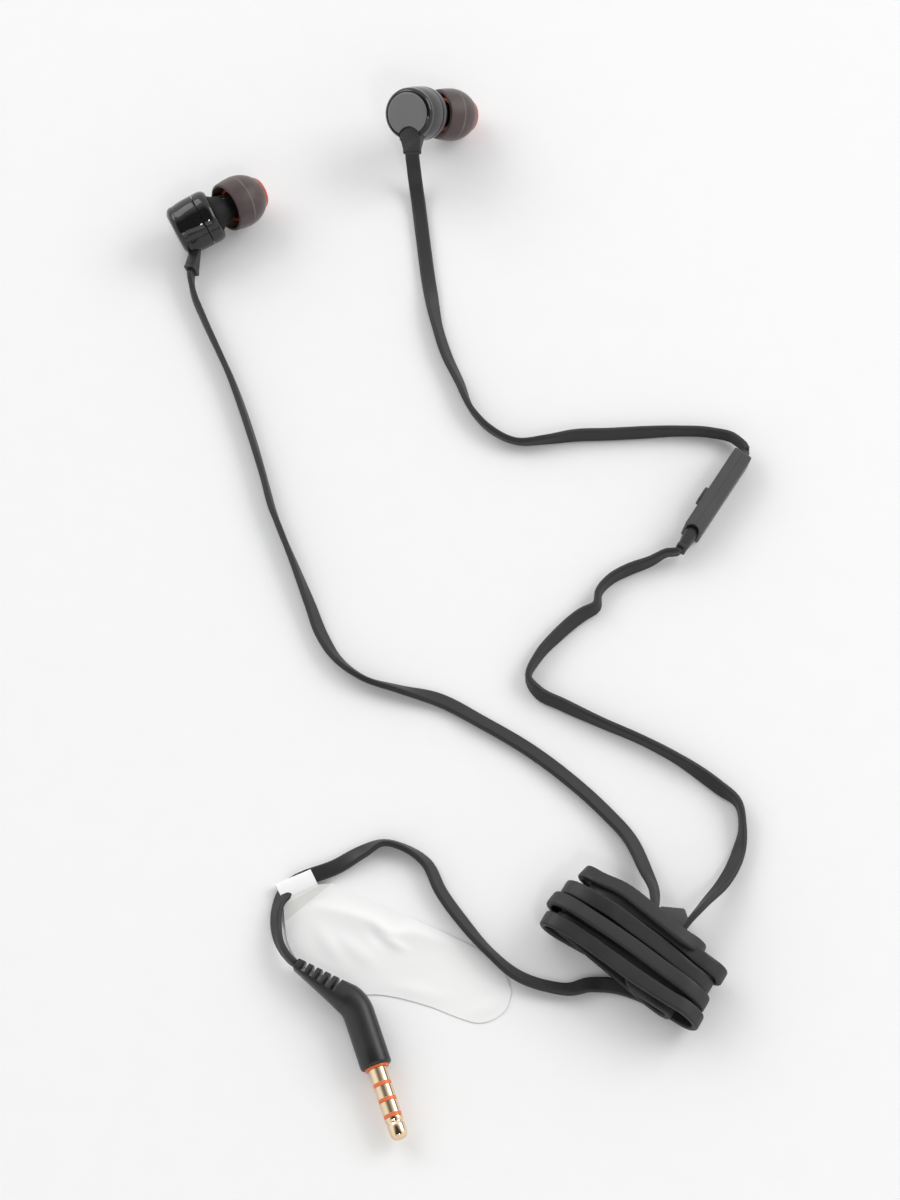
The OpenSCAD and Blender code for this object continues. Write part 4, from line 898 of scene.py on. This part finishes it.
def hoop(low, high, r=BARREL_R, bore=LINER_R):
    return [(bore, low), (r - EDGE, low), (r, low + EDGE), (r, high - EDGE), (r - EDGE, high), (bore, high)]


gold = moulded("gold_plate", (0.76, 0.58, 0.38), (0.86, 0.69, 0.48), (0.07, 0.12), patch_size=4.0,
               Metallic=1.0)
plastic = moulded("orange_plastic", (0.72, 0.13, 0.03), (0.82, 0.18, 0.05), (0.28, 0.38))
sleeve = [(LINER_R, -2.4), (SHANK_R, -2.4), (SHANK_R, 0.0)] + hoop(0.0, BANDS[0])[1:]
contact_tip = [(0, -6.75), (0.6, -6.75), (0.6, 9.7), (1.70, 9.7), (1.75, 9.75), (1.75, 10.15), (1.72, 10.22),
               (1.56, 10.50), (1.51, 10.62), (1.51, 10.74), (1.55, 10.86), (1.66, 11.06), (1.70, 11.2),
               (1.70, 11.6), (1.68, 12.3), (1.63, 12.8), (1.52, 13.2), (1.32, 13.54), (1.0, 13.80),
               (0.6, 13.94), (0, 14.0)]
liner = [(PIN_R, -2.4), (1.15, -2.4)]
for low in BANDS:
    liner += hoop(low + 0.01, low + BAND_W - 0.01, BARREL_R - 0.015, 1.15)
liner += [(PIN_R, BANDS[-1] + BAND_W - 0.01)]
for name, outline, material, slot, node in (
        ("plug_ground_sleeve", sleeve, gold, "gold_plate", "plug_sleeve"),
        ("plug_second_ring", hoop(BANDS[0] + BAND_W, BANDS[1]), gold, "gold_plate", "plug_ring_2"),
        ("plug_first_ring", hoop(BANDS[1] + BAND_W, BANDS[2]), gold, "gold_plate", "plug_ring_1"),
        ("plug_contact_tip", contact_tip, gold, "gold_plate", "plug_barrel_tip"),
        ("plug_orange_bands", liner, plastic, "orange_plastic", "plug_insulator_bands"),
        ("plug_orange_collar", hoop(-0.4, 0.0, COLLAR_R, 1.6), plastic, "orange_plastic", "plug_collar")):
    dressed(lathed(name, outline, on_barrel, 72), material, slot, node)

# ---- Label ----
# One strip of thin white film, folded round the lead like a flag. A sleeve holds the cord, a facet of the
# strip's inside comes down from it to a sharp fold, and the blank leaf lies on the table, creased by
# handling. The facet is painted a darker cream, as painted shade inside the fold.
SLEEVE_AT, SLEEVE_TURN, SLEEVE_L = np.array([0.9, -154.4]), 206.1, 7.4
SLEEVE = ((-0.6, 0.20), (-1.45, 0.22), (-1.72, 0.40), (-1.80, 0.75), (-1.80, 1.30), (-1.70, 1.62),
          (-1.35, 1.78), (-0.5, 1.84), (0.4, 1.84), (1.2, 1.78), (1.66, 1.62), (1.86, 1.36))
FACET = (0.2, 0.4, 0.6, 0.8, 0.94)
FOLD_TOP, FOLD_LOW, FOLD_Z, FACET_Z = (4.4, -155.4), (-4.6, -163.2), 0.40, 0.42
LEAF_TOP = [FOLD_TOP, (10.6, -158.2), (20.5, -162.7), (27.5, -166.0), (31.9, -168.2), (35.6, -170.9),
            (37.8, -173.6), (38.8, -176.6)]
LEAF_LOW = [FOLD_LOW, (-3.9, -167.2), (-1.5, -171.2), (3.6, -174.3), (8.6, -177.1), (14.5, -177.5),
            (24.2, -180.0), (29.2, -182.0), (32.8, -182.9), (35.8, -182.0), (38.0, -179.9), (38.8, -177.2)]
RIDGE = [(1.5, -160.3), (5.2, -160.9), (9.8, -162.3), (12.4, -163.3), (16.3, -165.6), (19.3, -165.3),
         (24.1, -166.6), (31.9, -169.2)]
DENTS = (((13.2, -166.2), (2.6, 1.1), -0.35, -48), ((16.8, -167.6), (2.2, 0.8), 0.30, -30),
         ((9.0, -168.5), (5.0, 1.6), 0.28, -38), ((4.0, -167.5), (3.8, 1.5), 0.32, -55),
         ((21.0, -176.8), (5.0, 1.4), 0.22, -14), ((33.5, -180.2), (2.6, 1.5), 0.25, 20))
FILM_T, LEAF_Z, LABEL_ROWS, LEAF_COLS = 0.1, 0.16, 40, 110


def spread_along(points, count):
    """That many points at equal steps along a smooth curve through points."""
    along = distances(points)
    return through(along, points, np.linspace(0, along[-1], count))


def leaf_height(p):
    """The leaf's rise over the table: two folded layers, a soft ridge, and dents beside it."""
    ridge = spread_along(RIDGE, 160)
    gaps = np.linalg.norm(p[:, :, None] - ridge, axis=-1)
    near, off = np.argmin(gaps, axis=-1), gaps.min(axis=-1)
    crest = np.interp(near / 159.0, [0, 0.15, 0.45, 0.62, 0.8, 1], [0.25, 0.5, 0.85, 0.55, 0.32, 0.05])
    below = p[..., 1] < ridge[near, 1]
    rise = crest * np.where(below, np.exp(-(off / 2.6) ** 1.4), np.exp(-(off / 1.5) ** 1.6))
    for (x, y), wide, deep, turn in DENTS:
        c, s = cos_sin(turn)
        u, v = (p[..., 0] - x) * c + (p[..., 1] - y) * s, -(p[..., 0] - x) * s + (p[..., 1] - y) * c
        rise = rise + deep * np.exp(-(u / wide[0]) ** 2 - (v / wide[1]) ** 2)
    return LEAF_Z + np.maximum(rise, -0.02)


def label_piece():
    """Rows across the strip: from under the sleeve over the cord, down the inside facet, along the leaf."""
    share = np.linspace(0, 1, LABEL_ROWS)
    along = np.array(cos_sin(SLEEVE_TURN))
    outer = np.array([-along[1], along[0]])
    base = SLEEVE_AT + np.outer(share * SLEEVE_L, along)
    fold = FOLD_TOP + np.outer(share, np.subtract(FOLD_LOW, FOLD_TOP))
    edge, edge_z = SLEEVE[-1]
    rows = [(base + c * outer, z) for c, z in SLEEVE]
    for s in FACET:
        flat = (1 - s) * (base + edge * outer) + s * fold
        rows.append((flat, FACET_Z + (edge_z - FACET_Z) * (1 - s) ** 1.25))
    rows += [(fold, FOLD_Z)]
    rows = [np.column_stack([flat, np.full(LABEL_ROWS, z)]) for flat, z in rows]
    high, low = spread_along(LEAF_TOP, LEAF_COLS)[:, None], spread_along(LEAF_LOW, LEAF_COLS)[:, None]
    grid = high * (1 - share[None, :, None]) + low * share[None, :, None]
    lift = np.exp(-np.linalg.norm(grid - grid[:1], axis=-1) / 1.6)
    height = np.maximum(leaf_height(grid), FOLD_Z * lift)
    rows += [np.column_stack([grid[i], height[i]]) for i in range(1, LEAF_COLS)]
    n = LABEL_ROWS
    faces = [(i * n + k, i * n + k + 1, (i + 1) * n + k + 1, (i + 1) * n + k)
             for i in range(len(rows) - 1) for k in range(n - 1)]
    piece = mesh_piece("label_film", np.vstack(rows), faces)
    for k, face in enumerate(piece.data.polygons):
        # The facet inside the fold gets the darker cream film: painted shade.
        face.material_index = 1 if 0 <= k // (n - 1) - len(SLEEVE) < len(FACET) else 0
    skin = piece.modifiers.new("film", "SOLIDIFY")
    skin.thickness, skin.offset = FILM_T * MM, 0.0
    return tidy(settled(piece), 30)


film = moulded("white_film", (0.885, 0.885, 0.88), (0.905, 0.905, 0.90), (0.34, 0.46), grain=0.01,
               grain_size=0.6, patch_size=9.0)
# Painted shade: a darker, creamy copy of the white film for the facet inside the fold.
creamy_painted_shade = moulded("white_film_fold_painted_shade", (0.76, 0.755, 0.72), (0.80, 0.795, 0.765), (0.40, 0.52), grain=0.01,
                 grain_size=0.6, patch_size=6.0)
label = label_piece()
dressed(label, film, "white_film", "cord_label", more=(creamy_painted_shade,))

# ---- Parts inside ----
# The driver in each earpiece: a nickel-plated magnet and washer in a steel yoke, a copper voice coil on a
# clear diaphragm, a moulded frame and a small round board, with woven steel mesh over the vent and the
# nozzle. The remote holds its board, snap dome and microphone, and the plug a hard inner moulding.
def woven_steel():
    """Fine woven steel mesh, about five wires to the millimetre each way, shown by relief."""
    material = moulded("woven_steel_mesh", (0.16, 0.16, 0.165), (0.22, 0.22, 0.225), (0.30, 0.42),
                       Metallic=0.8)
    tree = material.node_tree
    where = added(tree, "TexCoord")
    both = added(tree, "Math", [("operation", "MAXIMUM")])
    for k, turn in enumerate((0.0, math.pi / 2)):
        lay = added(tree, "Mapping", Rotation=(0.6, turn, turn))
        wires = added(tree, "TexWave", Scale=1600.0)
        wired(tree, (where, "Object", lay, "Vector"), (lay, "Vector", wires, "Vector"),
              (wires, "Fac", both, k))
    relieved(tree, both, "Value", 0.5, 0.00003)
    return material


mesh_steel = woven_steel()
frame_plastic = moulded("driver_plastic", (0.045, 0.045, 0.048), (0.06, 0.06, 0.063), (0.40, 0.52),
                        grain=0.01, grain_size=0.3)
plain_steel = moulded("stamped_steel", (0.46, 0.46, 0.47), (0.56, 0.56, 0.57), (0.24, 0.36), grain=0.006,
                      grain_size=0.15, Metallic=1.0)
nickel = moulded("nickel_plate", (0.58, 0.57, 0.55), (0.66, 0.65, 0.62), (0.12, 0.22), grain=0.004,
                 grain_size=0.2, Metallic=1.0)
copper = moulded("enamelled_copper", (0.50, 0.19, 0.07), (0.66, 0.28, 0.11), (0.22, 0.34), grain=0.03,
                 grain_size=0.12, Metallic=0.9)
film_clear = moulded("clear_film", (0.72, 0.74, 0.76), (0.78, 0.80, 0.82), (0.10, 0.18), grain=0.006,
                     grain_size=0.5, Transmission_Weight=0.7)
board_green = moulded("solder_mask", (0.018, 0.11, 0.045), (0.030, 0.16, 0.07), (0.26, 0.38), grain=0.012,
                      grain_size=0.5, patch_size=2.0)
hard_black = moulded("inner_moulding", (0.022, 0.022, 0.023), (0.030, 0.030, 0.031), (0.45, 0.6), grain=0.02,
                     grain_size=0.3)
INSIDE = {"driver_frame": frame_plastic, "driver_yoke": plain_steel, "driver_magnet": nickel,
          "driver_washer": plain_steel, "voice_coil": copper, "diaphragm": film_clear,
          "driver_pcb": board_green, "nozzle_mesh": mesh_steel, "vent_mesh": mesh_steel}
finishes = {f"{side}_{part}": finish for side in EARS for part, finish in INSIDE.items()}
finishes.update({"remote_circuit_board": board_green, "remote_dome_switch": plain_steel,
                 "remote_mic_capsule": plain_steel, "remote_mic_seal": hard_black,
                 "plug_inner_mould": hard_black})
for node, finish in finishes.items():
    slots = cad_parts[node].data.materials
    slots.clear()
    slots.append(finish)

# ---- Table, backdrop and light ----
# A pale seamless table top. A broad soft light stands behind it on each side, with a weak one in front, and
# a small lamp makes the sharp highlights. The room is pale all round and dark overhead, to the camera's
# side.
table = mesh_piece("table_top", [(-3000, -3000, 0), (3000, -3000, 0), (3000, 3000, 0), (-3000, 3000, 0)],
                   [(0, 1, 2, 3)])
paper, tree, shader = shaded("pale_paper")
preset(shader, Roughness=0.75, Specular_IOR_Level=0.2)
fibre = added(tree, "TexNoise", Scale=900.0)
fibre_tone = ramp(tree, 0.0, (0.905, 0.905, 0.905), 1.0, (0.925, 0.925, 0.925))
wired(tree, (fibre, "Fac", fibre_tone, "Fac"), (fibre_tone, "Color", shader, "Base Color"))
table.data.materials.append(paper)

MIDDLE = Vector((0.03, -0.09, 0.0))
for name, at, size, power in (("left_panel", (-0.72, 0.57, 0.67), (0.8, 0.55), 3.4),
                              ("right_panel", (0.93, 0.33, 0.67), (0.8, 0.55), 4.8),
                              ("front_fill", (0.1, -1.2, 0.9), (1.2, 0.4), 2.0),
                              ("key_lamp", (0.27, -0.834, 0.908), (0.1, 0.1), 0.9)):
    light = bpy.data.lights.new(name, "AREA")
    light.shape, light.energy = "RECTANGLE", power
    light.size, light.size_y = size
    lamp = bpy.data.objects.new(name, light)
    lamp.location = at
    lamp.rotation_euler = (MIDDLE - Vector(at)).to_track_quat("-Z", "Y").to_euler()
    scene.collection.objects.link(lamp)

room = bpy.data.worlds.new("pale_room")
room.use_nodes = True
tree = room.node_tree
facing = added(tree, "TexCoord")
towards = added(tree, "VectorMath", [("operation", "DOT_PRODUCT")])
towards.inputs[1].default_value = (0.0, -0.39, 0.92)
walls = ramp(tree, 0.60, (1.06, 1.06, 1.06), 0.86, (0.06, 0.06, 0.06))
wired(tree, (facing, "Generated", towards, 0), (towards, "Value", walls, "Fac"),
      (walls, "Color", tree.nodes["Background"], "Color"))
scene.world = room
scene.view_settings.view_transform = "Standard"
